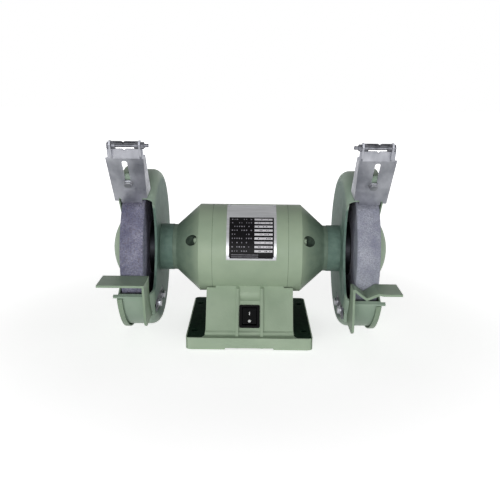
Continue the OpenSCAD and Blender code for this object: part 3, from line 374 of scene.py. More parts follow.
def bolt_pockets(tree):
    """The wall of each through bolt's pocket, and its floor around the bolt's head."""
    x, y, up = coordinates(tree)
    spoke = put(tree, "ShaderNodeCombineXYZ", {"Y": y, "Z": up}).outputs[0]
    turned = put(tree, "ShaderNodeVectorRotate", {"Vector": spoke, "Angle": BOLT_LEAN},
                 rotation_type="X_AXIS").outputs[0]
    folded = put(tree, "ShaderNodeVectorMath", {0: turned}, operation="ABSOLUTE").outputs[0]
    first, second = put(tree, "ShaderNodeSeparateXYZ", {0: folded}).outputs[1:]
    outward = put(tree, "ShaderNodeMath", {0: first, 1: second}, operation="MAXIMUM").outputs[0]
    sideways = put(tree, "ShaderNodeMath", {0: first, 1: second}, operation="MINIMUM").outputs[0]
    nearest = put(tree, "ShaderNodeCombineXYZ", {"X": outward, "Y": sideways}).outputs[0]
    away = put(tree, "ShaderNodeVectorMath", {0: nearest, 1: (BOLT_CIRCLE, 0.0, 0.0)},
               operation="DISTANCE").outputs["Value"]
    return overlap(tree, (away, *POCKET_WALL), (away, *BOLT_HEAD), (x, *POCKET_FLOOR))


print("bolt pockets on a circle of radius", BOLT_CIRCLE / MM, "mm")


# %% Painted shade or grime inside a region
def shade_or_grime_in_region(material, name, region, dark, light, blotch_mm, rough):
    """A copy of a finish with another colour in a region, blotched and with a gloss of its own: painted
    shade, or grime in a seam.
    """
    coated = material.copy()
    coated.name = name
    tree = coated.node_tree
    shader = next(node for node in tree.nodes if node.type == "BSDF_PRINCIPLED")
    clean = shader.inputs["Base Color"].links[0].from_socket
    sprayed = shader.inputs["Roughness"].links[0].from_socket
    place = put(tree, "ShaderNodeTexCoord").outputs["Object"]
    blotches = clouds(tree, place, blotch_mm, dark, light, 4.0)
    inside = region(tree)
    colour = put(tree, "ShaderNodeMix", {0: inside, 6: clean, 7: blotches}, data_type="RGBA").outputs[2]
    gloss = put(tree, "ShaderNodeMix", {0: inside, 2: sprayed, 3: rough}).outputs[0]
    tree.links.new(colour, shader.inputs["Base Color"])
    tree.links.new(gloss, shader.inputs["Roughness"])
    return coated


# Painted shade: the level top of the base flange, under the motor and the guards, is painted an almost black
# green.
base_enamel_with_painted_shade = shade_or_grime_in_region(cast_enamel, "stoved_enamel_with_painted_shade_on_flange_top", flange_top,
                          "#0c1d15", "#192e21", 8, 0.95)
# Painted shade: the sides of the guards that face the motor are painted darker.
guard_enamel_with_painted_shade = shade_or_grime_in_region(guard_coat, "stoved_enamel_with_painted_shade_on_guard_sides", guard_side,
                           "#5e756c", "#6f867b", 9, 0.5)
# Painted shade: the inside of each guard is painted near black.
guard_enamel_with_painted_shade = shade_or_grime_in_region(guard_enamel_with_painted_shade, "stoved_enamel_with_painted_shade_inside_guard", guard_inside,
                           "#0a0b0a", "#151614", 5, 0.95)
bell_enamel_with_painted_shade_and_grime = shell_enamel
for name, region, dark, light, blotch_mm, rough in (
    # Painted shade: the cones of the end bells are painted darker, and their necks darker still.
    ("stoved_enamel_thin_on_bell_cones", bell_cone, "#7a8d7d", "#879985", 12, 0.5),
    ("stoved_enamel_thinner_on_bell_necks", bell_neck, "#637567", "#6f8172", 9, 0.5),
    # Painted shade: the walls and floors of the through bolt pockets are painted dark.
    ("stoved_enamel_with_grime_in_pockets", bolt_pockets, "#27322a", "#3d4a40", 4, 0.8),
    ("stoved_enamel_on_bell_with_dusty_seam", bell_seam, "#4c5a4e", "#5d6b5f", 3, 0.8),
):
    bell_enamel_with_painted_shade_and_grime = shade_or_grime_in_region(bell_enamel_with_painted_shade_and_grime, name, region, dark, light, blotch_mm, rough)
print("painted shade and grime:", base_enamel_with_painted_shade.name, guard_enamel_with_painted_shade.name, bell_enamel_with_painted_shade_and_grime.name)

# %% [markdown]
# ## Metals
# Zinc plating on pressed sheet is a cool, cloudy grey, a little longer in the
# grain along the strip. Fasteners have the same coat but look brighter, because
# they are barrel plated, and on the hinge rods it has gone dull under dust.
# Turned steel shows fine rings, ground bearing steel almost none, and black
# oxide leaves the inner wheel flanges dark with a soft gloss.

# %% Metals
ALONG_STRIP = (1.0, 0.6, 0.6)
ALONG_SHAFT = (1.0, 0.05, 0.05)
IN_RINGS = (12.0, 1.0, 1.0)
IN_LAYERS = (10.0, 1.0, 1.0)
ALONG_LABEL = (0.1, 1.0, 1.0)
zinc_sheet = plain_finish("zinc_plated_sheet_rolled", "#8a8c94", "#c0c1c8", 3.6, 0.03, (0.36, 0.52),
                          ALONG_STRIP, Metallic=0.85)
zinc_fastener = plain_finish("zinc_plated_steel_barrel_coated", "#8f9095", "#b0b1b6", 1.2, 0.015,
                             (0.3, 0.42), Metallic=1.0)
dull_zinc = plain_finish("zinc_plated_steel_dulled_by_dust", "#4c4d52", "#74757b", 1.2, 0.02,
                         (0.42, 0.56), Metallic=0.9)
turned_steel = plain_finish("turned_carbon_steel", "#8d8e90", "#b2b3b6", 0.8, 0.02, (0.24, 0.38),
                            IN_RINGS, Metallic=1.0)
bearing_steel = plain_finish("ground_bearing_steel", "#a4a5a8", "#bcbdc0", 0.5, 0.005, (0.1, 0.16),
                             Metallic=1.0)
black_oxide = plain_finish("black_oxide_steel", "#17181b", "#2b2d33", 1.2, 0.02, (0.34, 0.5), Metallic=0.7)
laminated = plain_finish("stacked_electrical_sheet", "#4f5052", "#77787b", 0.9, 0.05, (0.4, 0.55),
                         IN_LAYERS, Metallic=0.9)
die_cast = plain_finish("die_cast_aluminium", "#b4b6b9", "#cfd0d3", 1.5, 0.04, (0.35, 0.5), Metallic=1.0)
drawn_can = plain_finish("drawn_aluminium_can", "#c2c3c4", "#d8d9da", 1.0, 0.01, (0.25, 0.34),
                         ALONG_SHAFT, Metallic=1.0)
spring_steel = plain_finish("blue_tempered_spring_steel", "#6d6e74", "#8d8e93", 0.8, 0.01, (0.22, 0.34),
                            Metallic=1.0)
plate_metal = plain_finish("anodised_plate_aluminium", "#a3a4a6", "#b4b5b8", 0.6, 0.01, (0.3, 0.42),
                           ALONG_LABEL, Metallic=0.55)
print("metals ready")

# %% [markdown]
# ## Winding wire, plastics and paper
# The coils are enamelled copper: warm brown, glossy, and ribbed by the wires
# that lie side by side. The switch is moulded black plastic with a very fine
# spark-eroded grain, the terminal block a plain white one. Soft, dark blotting
# paper lies between each wheel and its flanges. Inks and black plastic shine
# only a little, or the white room would turn them grey.

# %% Winding wire, plastics and paper
WAVE_BAND = 0.157


def winding_wire():
    """Wires of 0.8 mm, drawn as bands of 1.6 mm that run round the shaft."""
    material, tree, shader, place = start_material("enamelled_copper_wire_wound", Metallic=0.6)
    bands = put(tree, "ShaderNodeTexWave", {
        "Vector": place, "Scale": per_mm(1.6) * WAVE_BAND, "Distortion": 1.5, "Detail": 2.0,
    }, bands_direction="X").outputs["Fac"]
    brown = put(tree, "ShaderNodeMix", {
        0: bands, 6: paint("#6d3417"), 7: paint("#b0683a"),
    }, data_type="RGBA").outputs[2]
    cover(tree, shader, brown, speckle(tree, place, 3, 0.25, 0.4), bands, 0.3)
    return material


copper_wire = winding_wire()
LOW_SHINE = {"IOR": 1.5, "Specular IOR Level": 0.08}
NYLON_SHINE = {"IOR": 1.53, "Specular IOR Level": 0.08}
black_ink = plain_finish("screen_printed_black_ink", "#070609", "#0e0d10", 0.8, 0.01, (0.35, 0.5),
                         **LOW_SHINE)
white_ink = plain_finish("screen_printed_white_ink", "#cfcdd2", "#dedce0", 0.8, 0.01, (0.4, 0.55),
                         **LOW_SHINE)
grey_ink = plain_finish("screen_printed_grey_ink", "#7c7a82", "#98969d", 0.8, 0.01, (0.4, 0.55),
                        **LOW_SHINE)
mark_paint = plain_finish("filled_white_mark", "#d2d2d2", "#ececec", 0.6, 0.01, (0.3, 0.4), **LOW_SHINE)
black_plastic = plain_finish("moulded_black_nylon", "#030304", "#080809", 0.7, 0.02, (0.3, 0.42),
                             **NYLON_SHINE)
rocker_plastic = plain_finish("polished_black_rocker_plastic", "#050506", "#0b0b0d", 0.9, 0.01, (0.2, 0.3),
                              **NYLON_SHINE)
white_plastic = plain_finish("moulded_white_terminal_plastic", "#d6d6cf", "#e6e6e0", 1.0, 0.02, (0.35, 0.5),
                             IOR=1.5)
blotter_paper = plain_finish("pressed_blotting_paper", "#2a2b2f", "#393a3f", 1.1, 0.08, (0.85, 0.95),
                             IOR=1.4)
print("other finishes ready")

# %% [markdown]
# ## Vitrified abrasive
# A grinding wheel is grit held by a glassy bond and fired. The left wheel is
# coarse and the right one fine. Real grit of this kind is 0.3 to 0.7 mm, less
# than a pixel here, so it is drawn about three times as coarse. The grains are
# cells of different greys; the pores between them are dark and sunk.

# %% Vitrified abrasive
def abrasive(name, grain_mm, pore, dark, light):
    """Grains of grain_mm in greys between dark and light, with sunk pores between them."""
    material, tree, shader, place = start_material(name, IOR=1.6)
    cells = put(tree, "ShaderNodeTexVoronoi", {"Vector": place, "Scale": per_mm(grain_mm)})
    tint = put(tree, "ShaderNodeSeparateColor", {0: cells.outputs["Color"]}).outputs[0]
    grains = put(tree, "ShaderNodeMix", {
        0: tint, 6: paint(dark), 7: paint(light),
    }, data_type="RGBA").outputs[2]
    patches = put(tree, "ShaderNodeMix", {
        0: speckle(tree, place, 22, 0.0, 1.0, 3.0), 6: grains, 7: paint(light),
    }, data_type="RGBA", blend_type="MULTIPLY").outputs[2]
    gaps = put(tree, "ShaderNodeMapRange", {
        "Value": cells.outputs["Distance"], "From Min": 0.45, "From Max": 0.8, "To Min": 0.0, "To Max": 0.75,
    }).outputs[0]
    colour = put(tree, "ShaderNodeMix", {
        0: gaps, 6: patches, 7: paint(pore),
    }, data_type="RGBA").outputs[2]
    height = put(tree, "ShaderNodeMath", {0: 1.0, 1: cells.outputs["Distance"]},
                 operation="SUBTRACT").outputs[0]
    cover(tree, shader, colour, speckle(tree, place, grain_mm, 0.7, 0.95), height, grain_mm * 0.35)
    return material


coarse_abrasive = abrasive("vitrified_coarse_abrasive_fired", 2.0, "#686472", "#81829a", "#a2a2b4")
fine_abrasive = abrasive("vitrified_fine_abrasive_fired", 1.4, "#83858f", "#a0a3b0", "#bdbfcb")
print("abrasives ready")

# %% [markdown]
# ## Soft edges
# No foundry pours a knife edge and no press leaves one. Each solid that shows
# is copied, its loose triangles are joined, flat faces are merged again, and
# every sharp edge gets a small round: 1.4 mm on the base, 0.8 mm on the end
# bells, 0.6 mm on guards, covers and rests, and less on screws and rods. The
# copy then stands for its solid.

# %% Rounded copies of the solids
SHARP = math.radians(32)


def joined_copy(name):
    """One clean mesh from the loose triangles of a solid."""
    mesh = nodes[name].data.copy()
    shape = bmesh.new()
    shape.from_mesh(mesh)
    bmesh.ops.remove_doubles(shape, verts=shape.verts, dist=1e-6)
    bmesh.ops.dissolve_limit(shape, angle_limit=math.radians(0.4), verts=shape.verts, edges=shape.edges)
    shape.to_mesh(mesh)
    shape.free()
    mesh.materials.clear()
    return mesh


def dress(name, width_mm, material):
    """A rounded copy of a solid, in its finish, in place of the plain one."""
    piece = bpy.data.objects.new(name + "_dressed", joined_copy(name))
    bpy.context.scene.collection.objects.link(piece)
    piece.data.materials.append(material)
    piece.data.shade_smooth()
    piece.data.set_sharp_from_angle(angle=SHARP)
    edge = piece.modifiers.new("soft edge", "BEVEL")
    edge.width = width_mm * MM
    edge.segments = 2
    edge.limit_method = "ANGLE"
    edge.angle_limit = SHARP
    edge.use_clamp_overlap = True
    edge.harden_normals = True
    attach(piece, body_of_node[name])
    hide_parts(name)


slot_of_node = {s["node"]: s["material_slot"] for s in frame["record"]["subparts"]}
for width_mm, material, names in (
    (1.4, base_enamel_with_painted_shade, ["base_casting"]),
    (0.6, guard_enamel_with_painted_shade, ["left_inner_guard", "right_inner_guard"]),
    (0.8, bell_enamel_with_painted_shade_and_grime, ["left_end_bell", "right_end_bell"]),
    (0.4, shell_enamel, ["motor_shell"]),
    (0.6, sheet_enamel, ["left_outer_cover", "right_outer_cover", "left_tool_rest", "right_tool_rest"]),
    (0.4, zinc_sheet, ["left_shield_bracket", "right_shield_bracket"]),
    (0.35, dull_zinc, ["left_shield_clamp", "right_shield_clamp", "left_clamp_plate", "right_clamp_plate"]),
    (0.5, black_plastic, ["switch_housing"]),
    (0.4, rocker_plastic, ["switch_rocker"]),
    (0.5, black_oxide, ["inner_flanges"]),
    (0.6, turned_steel, ["left_arbor_nut", "right_arbor_nut", "outer_flanges"]),
    (0.3, zinc_fastener, ["left_rest_bolts", "right_rest_bolts", "bracket_screws", "saddle_bolts"]),
    (0.3, dull_zinc, ["left_rod_nut", "right_rod_nut", "left_hinge_rod", "right_hinge_rod"]),
    (0.3, bell_enamel_with_painted_shade_and_grime, ["through_bolts"]),
):
    for name in names:
        dress(name, width_mm, material)

# %% [markdown]
# ## The pieces that keep their solid
# Small and inner pieces are right as they are. They only get their finish.

# %% Finishes for the other solids
finish_of = {
    zinc_sheet: ["bottom_plate", "capacitor_clamp"],
    spring_steel: ["wave_washer"],
    plate_metal: ["nameplate"],
    zinc_fastener: ["bottom_plate_screws", "guard_screws", "nameplate_rivets"],
    turned_steel: ["shaft"],
    bearing_steel: ["left_bearing_outer", "right_bearing_outer", "left_bearing_inner", "right_bearing_inner",
                    "left_bearing_balls", "right_bearing_balls"],
    laminated: ["stator_core", "rotor_core"],
    die_cast: ["rotor_end_rings"],
    copper_wire: ["stator_windings"],
    drawn_can: ["capacitor"],
    black_plastic: ["cable_gland"],
    white_plastic: ["terminal_block"],
    blotter_paper: ["wheel_blotters"],
}
for material, names in finish_of.items():
    for name in names:
        solid = nodes[name]
        solid.data.materials.clear()
        solid.data.materials.append(material)
print("finished", sum(map(len, finish_of.values())), "solids")

# %% [markdown]
# ## Growing pieces with Geometry Nodes
# Whatever repeats or follows a rule is grown by a node tree: the wheels turned
# from one profile, the ring of cover screws, the rows of the printed plate. A
# tree here is a list of inputs with real sizes. The result is turned into a
# plain mesh straight away, so nothing depends on the tree afterwards.

# %% Helpers for node trees
def shifted(tree, geometry, **sizes):
    """A geometry moved by sizes that the tree works out; a way that is left out is 0."""
    way = put(tree, "ShaderNodeCombineXYZ", sizes).outputs[0]
    return put(tree, "GeometryNodeTransform", {"Geometry": geometry, "Translation": way}).outputs[0]


def start_tree(name, **inputs):
    """A node tree with one input for each named size, and the sockets of its group input."""
    tree = bpy.data.node_groups.new(name, "GeometryNodeTree")
    kinds = {float: "NodeSocketFloat", int: "NodeSocketInt", bpy.types.Material: "NodeSocketMaterial"}
    for label, value in inputs.items():
        socket = tree.interface.new_socket(label, in_out="INPUT", socket_type=kinds[type(value)])
        socket.default_value = value
    tree.interface.new_socket("Geometry", in_out="OUTPUT", socket_type="NodeSocketGeometry")
    return tree, put(tree, "NodeGroupInput").outputs


def end_tree(tree, geometry, material):
    """Every tree ends in real geometry with its material on it."""
    real = put(tree, "GeometryNodeRealizeInstances", {0: geometry}).outputs[0]
    coated = put(tree, "GeometryNodeSetMaterial", {"Geometry": real, "Material": material}).outputs[0]
    put(tree, "NodeGroupOutput", {0: coated})


def grow(name, tree, body, slot, **values):
    """Runs a tree with these sizes and keeps the plain mesh, riding on a body."""
    piece = bpy.data.objects.new(name, bpy.data.meshes.new(name))
    bpy.context.scene.collection.objects.link(piece)
    maker = piece.modifiers.new("maker", "NODES")
    maker.node_group = tree
    for item in tree.interface.items_tree:
        if item.in_out == "INPUT" and item.name in values:
            maker[item.identifier] = values[item.name]
    graph = bpy.context.evaluated_depsgraph_get()
    mesh = bpy.data.meshes.new_from_object(piece.evaluated_get(graph), depsgraph=graph)
    piece.modifiers.clear()
    piece.data = mesh
    clean = bmesh.new()
    clean.from_mesh(mesh)
    bmesh.ops.remove_doubles(clean, verts=clean.verts, dist=1e-6)
    bmesh.ops.recalc_face_normals(clean, faces=clean.faces)
    clean.to_mesh(mesh)
    clean.free()
    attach(piece, body)
    print(name, len(mesh.polygons), "faces")
    return piece


print("tree helpers ready")

# %% [markdown]
# ## The grinding wheels
# A wheel is a ring pressed in a mould, so its shape is one rectangle with
# broken corners, turned about the shaft. The rectangle is cut into short
# steps, swept round a circle, and every point is then pushed in by a little
# noise, as grit leaves it. The dressed rim keeps that roughness too.

# %% Wheels
wheel_low, wheel_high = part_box("right_wheel")
WHEEL_RADIUS = wheel_high.z - SHAFT_HEIGHT
WHEEL_BORE = 0.016
WHEEL_MIDDLE = (wheel_low.x + wheel_high.x) / 2
WHEEL_WIDTH = wheel_high.x - wheel_low.x


def wheel_tree():
    """A rectangle with broken corners, swept round the shaft and rubbed rough."""
    tree, given = start_tree("turned wheel", Radius=1.0, Bore=1.0, Width=1.0, Middle=1.0, Axis=1.0,
                             Corner=0.0015, Step=0.0022, Around=320, Grit=0.0004, Grain=0.002, Seed=3.0,
                             Finish=coarse_abrasive)
    edges = {0: given["Radius"], 1: given["Bore"]}
    deep = put(tree, "ShaderNodeMath", edges, operation="SUBTRACT").outputs[0]
    whole = put(tree, "ShaderNodeMath", edges, operation="ADD").outputs[0]
    mean = put(tree, "ShaderNodeMath", {0: whole, 1: 0.5}, operation="MULTIPLY").outputs[0]
    outline = put(tree, "GeometryNodeCurvePrimitiveQuadrilateral", {"Width": deep, "Height": given["Width"]})
    rounded = put(tree, "GeometryNodeFilletCurve", {
        "Curve": outline.outputs[0], "Radius": given["Corner"], "Count": 3,
    }, mode="POLY").outputs[0]
    stepped = put(tree, "GeometryNodeResampleCurve", {"Curve": rounded, "Length": given["Step"]},
                  mode="LENGTH").outputs[0]
    path = put(tree, "GeometryNodeCurvePrimitiveCircle", {"Resolution": given["Around"], "Radius": mean},
               mode="RADIUS").outputs[0]
    ring = put(tree, "GeometryNodeCurveToMesh", {"Curve": path, "Profile Curve": stepped}).outputs[0]
    spot = put(tree, "ShaderNodeCombineXYZ", {"X": given["Middle"], "Z": given["Axis"]}).outputs[0]
    placed = put(tree, "GeometryNodeTransform", {
        "Geometry": ring, "Translation": spot, "Rotation": (0.0, math.pi / 2, 0.0),
    }).outputs[0]
    fine = put(tree, "ShaderNodeMath", {0: 1.0, 1: given["Grain"]}, operation="DIVIDE").outputs[0]
    where = put(tree, "GeometryNodeInputPosition").outputs[0]
    rough = put(tree, "ShaderNodeTexNoise", {
        "Vector": where, "W": given["Seed"], "Scale": fine, "Detail": 2.0,
    }, noise_dimensions="4D").outputs[0]
    depth = put(tree, "ShaderNodeMath", {0: rough, 1: given["Grit"]}, operation="MULTIPLY").outputs[0]
    normal = put(tree, "GeometryNodeInputNormal").outputs[0]
    rubbed_off = put(tree, "ShaderNodeVectorMath", {0: normal, "Scale": depth}, operation="SCALE").outputs[0]
    left_over = put(tree, "ShaderNodeVectorMath", {0: where, 1: rubbed_off}, operation="SUBTRACT").outputs[0]
    rubbed = put(tree, "GeometryNodeSetPosition", {"Geometry": placed, "Position": left_over}).outputs[0]
    end_tree(tree, rubbed, given["Finish"])
    return tree


turned_wheel = wheel_tree()
for side, sign, finish, grain in (("left", -1, coarse_abrasive, 0.0022), ("right", 1, fine_abrasive, 0.0015)):
    wheel = grow(side + "_wheel_dressed", turned_wheel, "rotor", slot_of_node[side + "_wheel"],
                 Radius=WHEEL_RADIUS, Bore=WHEEL_BORE, Width=WHEEL_WIDTH, Middle=sign * WHEEL_MIDDLE,
                 Axis=SHAFT_HEIGHT, Grain=grain, Grit=grain * 0.2, Finish=finish)
    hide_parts(side + "_wheel")

# %% [markdown]
# ## Cover screws
# Five pan-head screws hold each cover. They stand on one circle, 66 degrees
# apart, and leave out the open front. A head is a short drum under a low cone,
# with two crossed bars cut out of it by a boolean. It is made once and then
# copied along an arc. Each side is turned to look outwards.

# %% Cover screws
HEAD_RADIUS = 0.0036
HEAD_HEIGHT = 0.0020
SCREW_CIRCLE = 0.1089
FIRST_SCREW = math.radians(62)
SCREW_STEP = math.radians(66)
SCREW_COUNT = 5


def screw_head(tree, given):
    """A pan head that stands on the ground plane, with its crossed recess."""
    half, quarter, crown_radius, long = (
        put(tree, "ShaderNodeMath", {0: given[size], 1: share}, operation="MULTIPLY").outputs[0]
        for size, share in (("Height", 0.5), ("Height", 0.25), ("Radius", 0.62), ("Radius", 1.15))
    )
    drum = put(tree, "GeometryNodeMeshCylinder", {"Vertices": 28, "Radius": given["Radius"], "Depth": half})
    crown = put(tree, "GeometryNodeMeshCone", {
        "Vertices": 28, "Radius Top": crown_radius, "Radius Bottom": given["Radius"], "Depth": half,
    })
    cut = put(tree, "GeometryNodeMeshBoolean", operation="DIFFERENCE")
    solid = put(tree, "GeometryNodeMeshBoolean", operation="UNION")
    for part, lift in ((drum, quarter), (crown, half)):
        tree.links.new(shifted(tree, part.outputs[0], Z=lift), solid.inputs["Mesh 2"])
    tree.links.new(solid.outputs[0], cut.inputs["Mesh 1"])
    for wide, deep in ((long, given["Slot"]), (given["Slot"], long)):
        bar = put(tree, "ShaderNodeCombineXYZ", {"X": wide, "Y": deep, "Z": given["Height"]}).outputs[0]
        block = put(tree, "GeometryNodeMeshCube", {"Size": bar}).outputs[0]
        tree.links.new(shifted(tree, block, Z=given["Height"]), cut.inputs["Mesh 2"])
    return cut.outputs[0]


def screw_tree():
    """Both covers' rings of screws, each an arc of heads turned to look outwards."""
    tree, given = start_tree("rings of cover screws", Circle=1.0, Count=5, First=1.0, Sweep=1.0, Face=1.0,
                             Axis=1.0, Radius=0.0036, Height=0.002, Slot=0.0009, Finish=zinc_fastener)
    head = screw_head(tree, given)
    joined = put(tree, "GeometryNodeJoinGeometry")
    for sign in (-1, 1):
        start = put(tree, "ShaderNodeMath", {0: given["First"], 1: -sign, 2: -math.pi / 2},
                    operation="MULTIPLY_ADD").outputs[0]
        sweep = put(tree, "ShaderNodeMath", {0: given["Sweep"], 1: -sign}, operation="MULTIPLY").outputs[0]
        face = put(tree, "ShaderNodeMath", {0: given["Face"], 1: sign}, operation="MULTIPLY").outputs[0]
        arc = put(tree, "GeometryNodeCurveArc", {
            "Resolution": given["Count"], "Radius": given["Circle"], "Start Angle": start,
            "Sweep Angle": sweep,
        }, mode="RADIUS").outputs[0]
        points = put(tree, "GeometryNodeCurveToPoints", {"Curve": arc}, mode="EVALUATED").outputs[0]
        heads = put(tree, "GeometryNodeInstanceOnPoints", {"Points": points, "Instance": head}).outputs[0]
        spot = put(tree, "ShaderNodeCombineXYZ", {"X": face, "Z": given["Axis"]}).outputs[0]
        ring = put(tree, "GeometryNodeTransform", {
            "Geometry": heads, "Translation": spot, "Rotation": (0.0, sign * math.pi / 2, 0.0),
        }).outputs[0]
        tree.links.new(ring, joined.inputs[0])
    end_tree(tree, joined.outputs[0], given["Finish"])
    return tree


screw_heads = grow("cover_screw_heads", screw_tree(), "frame", "zinc_fasteners",
                   Circle=SCREW_CIRCLE, Count=SCREW_COUNT, First=FIRST_SCREW,
                   Sweep=SCREW_STEP * (SCREW_COUNT - 1), Face=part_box("cover_screws")[1].x - HEAD_HEIGHT,
                   Axis=SHAFT_HEIGHT, Radius=HEAD_RADIUS, Height=HEAD_HEIGHT)
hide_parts("cover_screws")

# %% [markdown]
# ## The printed plate
# The plate on the shell is thin aluminium with a screen-printed panel. Its
# upper strip stays bare metal. Below it lies a black table with a column of
# white cells, and rows of small grey marks that stand for its entries without
# spelling anything. Ink has almost no thickness, so every mark is a patch that
# floats a few hundredths of a millimetre over the plate. Marks are laid out
# flat in rows and columns and then the whole field is rolled onto the shell.

# %% A field of printed marks
plate_low, plate_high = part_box("nameplate")
PLATE_RADIUS = 0.06465
INK = 0.00004


def printed_tree():
    """Rows and columns of flat marks, some left out and some narrower, rolled onto a tube."""
    tree, given = start_tree("printed marks", Left=0.0, Top=0.0, Columns=1, Rows=1, Across=0.0, Down=0.0,
                             Width=1.0, Height=1.0, Steps=2, Least=1.0, Chance=1.0, Seed=1,
                             Radius=1.0, Axis=1.0, Ink=black_ink)
    mark = put(tree, "GeometryNodeMeshGrid", {
        "Size X": given["Width"], "Size Y": given["Height"], "Vertices X": 2, "Vertices Y": given["Steps"],
    }).outputs[0]
    first = put(tree, "ShaderNodeCombineXYZ", {"X": given["Left"], "Y": given["Top"]}).outputs[0]
    down = put(tree, "ShaderNodeMath", {0: given["Down"], 1: -1.0}, operation="MULTIPLY").outputs[0]
    rows = put(tree, "GeometryNodeMeshLine", {
        "Count": given["Rows"], "Start Location": first,
        "Offset": put(tree, "ShaderNodeCombineXYZ", {"Y": down}).outputs[0],
    }, mode="OFFSET").outputs[0]
    columns = put(tree, "GeometryNodeMeshLine", {
        "Count": given["Columns"], "Start Location": (0.0, 0.0, 0.0),
        "Offset": put(tree, "ShaderNodeCombineXYZ", {"X": given["Across"]}).outputs[0],
    }, mode="OFFSET").outputs[0]
    field = put(tree, "GeometryNodeInstanceOnPoints", {"Points": rows, "Instance": columns}).outputs[0]
    spots = put(tree, "GeometryNodeRealizeInstances", {0: field}).outputs[0]
    width = put(tree, "FunctionNodeRandomValue", {2: given["Least"], 3: 1.0, 8: given["Seed"]}).outputs[1]
    kept = put(tree, "FunctionNodeRandomValue", {6: given["Chance"], 8: given["Seed"]},
               data_type="BOOLEAN").outputs[3]
    narrowed = put(tree, "ShaderNodeCombineXYZ", {"X": width, "Y": 1.0, "Z": 1.0}).outputs[0]
    laid = put(tree, "GeometryNodeInstanceOnPoints", {
        "Points": spots, "Instance": mark, "Selection": kept, "Scale": narrowed,
    }).outputs[0]
    flat = put(tree, "GeometryNodeRealizeInstances", {0: laid}).outputs[0]
    where = put(tree, "GeometryNodeInputPosition").outputs[0]
    x, y = put(tree, "ShaderNodeSeparateXYZ", {0: where}).outputs[:2]
    angle = put(tree, "ShaderNodeMath", {0: y, 1: given["Radius"]}, operation="DIVIDE").outputs[0]
    sine = put(tree, "ShaderNodeMath", {0: angle}, operation="SINE").outputs[0]
    cosine = put(tree, "ShaderNodeMath", {0: angle}, operation="COSINE").outputs[0]
    upward = put(tree, "ShaderNodeMath", {0: sine, 1: given["Radius"], 2: given["Axis"]},
                 operation="MULTIPLY_ADD").outputs[0]
    forward = put(tree, "ShaderNodeMath", {0: cosine, 1: given["Radius"]}, operation="MULTIPLY").outputs[0]
    front = put(tree, "ShaderNodeMath", {0: forward, 1: -1.0}, operation="MULTIPLY").outputs[0]
    on_tube = put(tree, "ShaderNodeCombineXYZ", {"X": x, "Y": front, "Z": upward}).outputs[0]
    rolled = put(tree, "GeometryNodeSetPosition", {"Geometry": flat, "Position": on_tube}).outputs[0]
    end_tree(tree, rolled, given["Ink"])
    return tree


def arc_length(degrees):
    """How far a mark lies up the plate, measured along it from the level of the shaft."""
    return math.radians(degrees) * PLATE_RADIUS


printed = printed_tree()


def print_field(name, ink, layer, left, right, high, low, rows=1, pitch_deg=0.0, **more):
    """Marks between left and right, the first row between two angles above the front."""
    grow(name, printed, "frame", "plate_aluminium", Ink=ink, Radius=PLATE_RADIUS + layer * INK,
         Axis=SHAFT_HEIGHT, Left=(left + right) / 2, Top=arc_length((high + low) / 2),
         Width=right - left, Height=arc_length(high - low), Rows=rows, Down=arc_length(pitch_deg), **more)


print("marks can be printed on a tube of radius", PLATE_RADIUS / MM, "mm")

# %% The table on the plate
plate_middle = (plate_low.x + plate_high.x) / 2
TABLE_EDGES = (-0.0313, 0.0315)
TABLE_TOP, TABLE_FOOT = 54.4, -0.6
ROWS = 9
PITCH = 5.28
FIRST_ROW = 51.0
table_left, table_right = (plate_middle + edge for edge in TABLE_EDGES)


def print_rows(name, ink, layer, left, right, half_high, **more):
    """Marks that repeat on every row of the table, half_high degrees to each side of its middle."""
    print_field(name, ink, layer, left, right, FIRST_ROW + half_high, FIRST_ROW - half_high,
                rows=ROWS, pitch_deg=PITCH, **more)


print_field("plate_black_table", black_ink, 1, table_left, table_right, TABLE_TOP, TABLE_FOOT, Steps=30)
print_rows("plate_white_cells", white_ink, 2, table_right - 0.0273, table_right - 0.0019, 1.45, Steps=4)
print_rows("plate_row_marks", grey_ink, 2, table_left + 0.0035, table_left + 0.0056, 0.75,
           Columns=9, Across=0.0033, Least=0.35, Chance=0.62, Seed=4)
print_rows("plate_cell_marks", black_ink, 3, table_right - 0.0225, table_right - 0.0209, 0.6,
           Columns=8, Across=0.0023, Least=0.3, Chance=0.5, Seed=9)
print_field("plate_foot_lines", grey_ink, 2, table_left + 0.003, table_right - 0.022, 4.4, 3.7,
            rows=2, pitch_deg=2.6, Steps=2)

# %% [markdown]
# ## Marks on the switch
# The rocker has a bar on its upper half for on and a round dot on its lower
# half for off. Both are paint in shallow moulded marks. The rocker's face is a
# shallow V of two planes that meet at the pivot, and the pivot is the joint's
# own anchor, so the marks are laid out on those planes and then turned with
# the rocker. They ride on it when it tips.

# %% Marks on the rocker
rock = next(joint for joint in frame["joints"] if joint["name"] == "switch_rock")
FACE_LEAN = math.radians(30.744)
ROCKER_TILT = math.radians(8)
ROCKER_CROWN = 0.0034
MARK_LIFT = 0.00006


def mark_on_rocker(name, outline):
    """A flat mark, its outline given across the rocker and up it from the pivot, in metres."""
    mesh = bpy.data.meshes.new(name)
    shape = bmesh.new()
    turn = Matrix.Rotation(math.pi / 2 - FACE_LEAN - ROCKER_TILT, 4, "X")
    corners = []
    for x, y in outline:
        z = ROCKER_CROWN + abs(y) * math.tan(ROCKER_TILT) + MARK_LIFT
        corners.append(shape.verts.new(turn @ Vector((x, y, z)) + Vector(rock["pos_m"])))
    shape.faces.new(corners)
    bmesh.ops.recalc_face_normals(shape, faces=shape.faces)
    shape.to_mesh(mesh)
    shape.free()
    mesh.materials.append(mark_paint)
    piece = bpy.data.objects.new(name, mesh)
    bpy.context.scene.collection.objects.link(piece)
    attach(piece, "rocker")
    print(name, len(mesh.vertices), "corners")


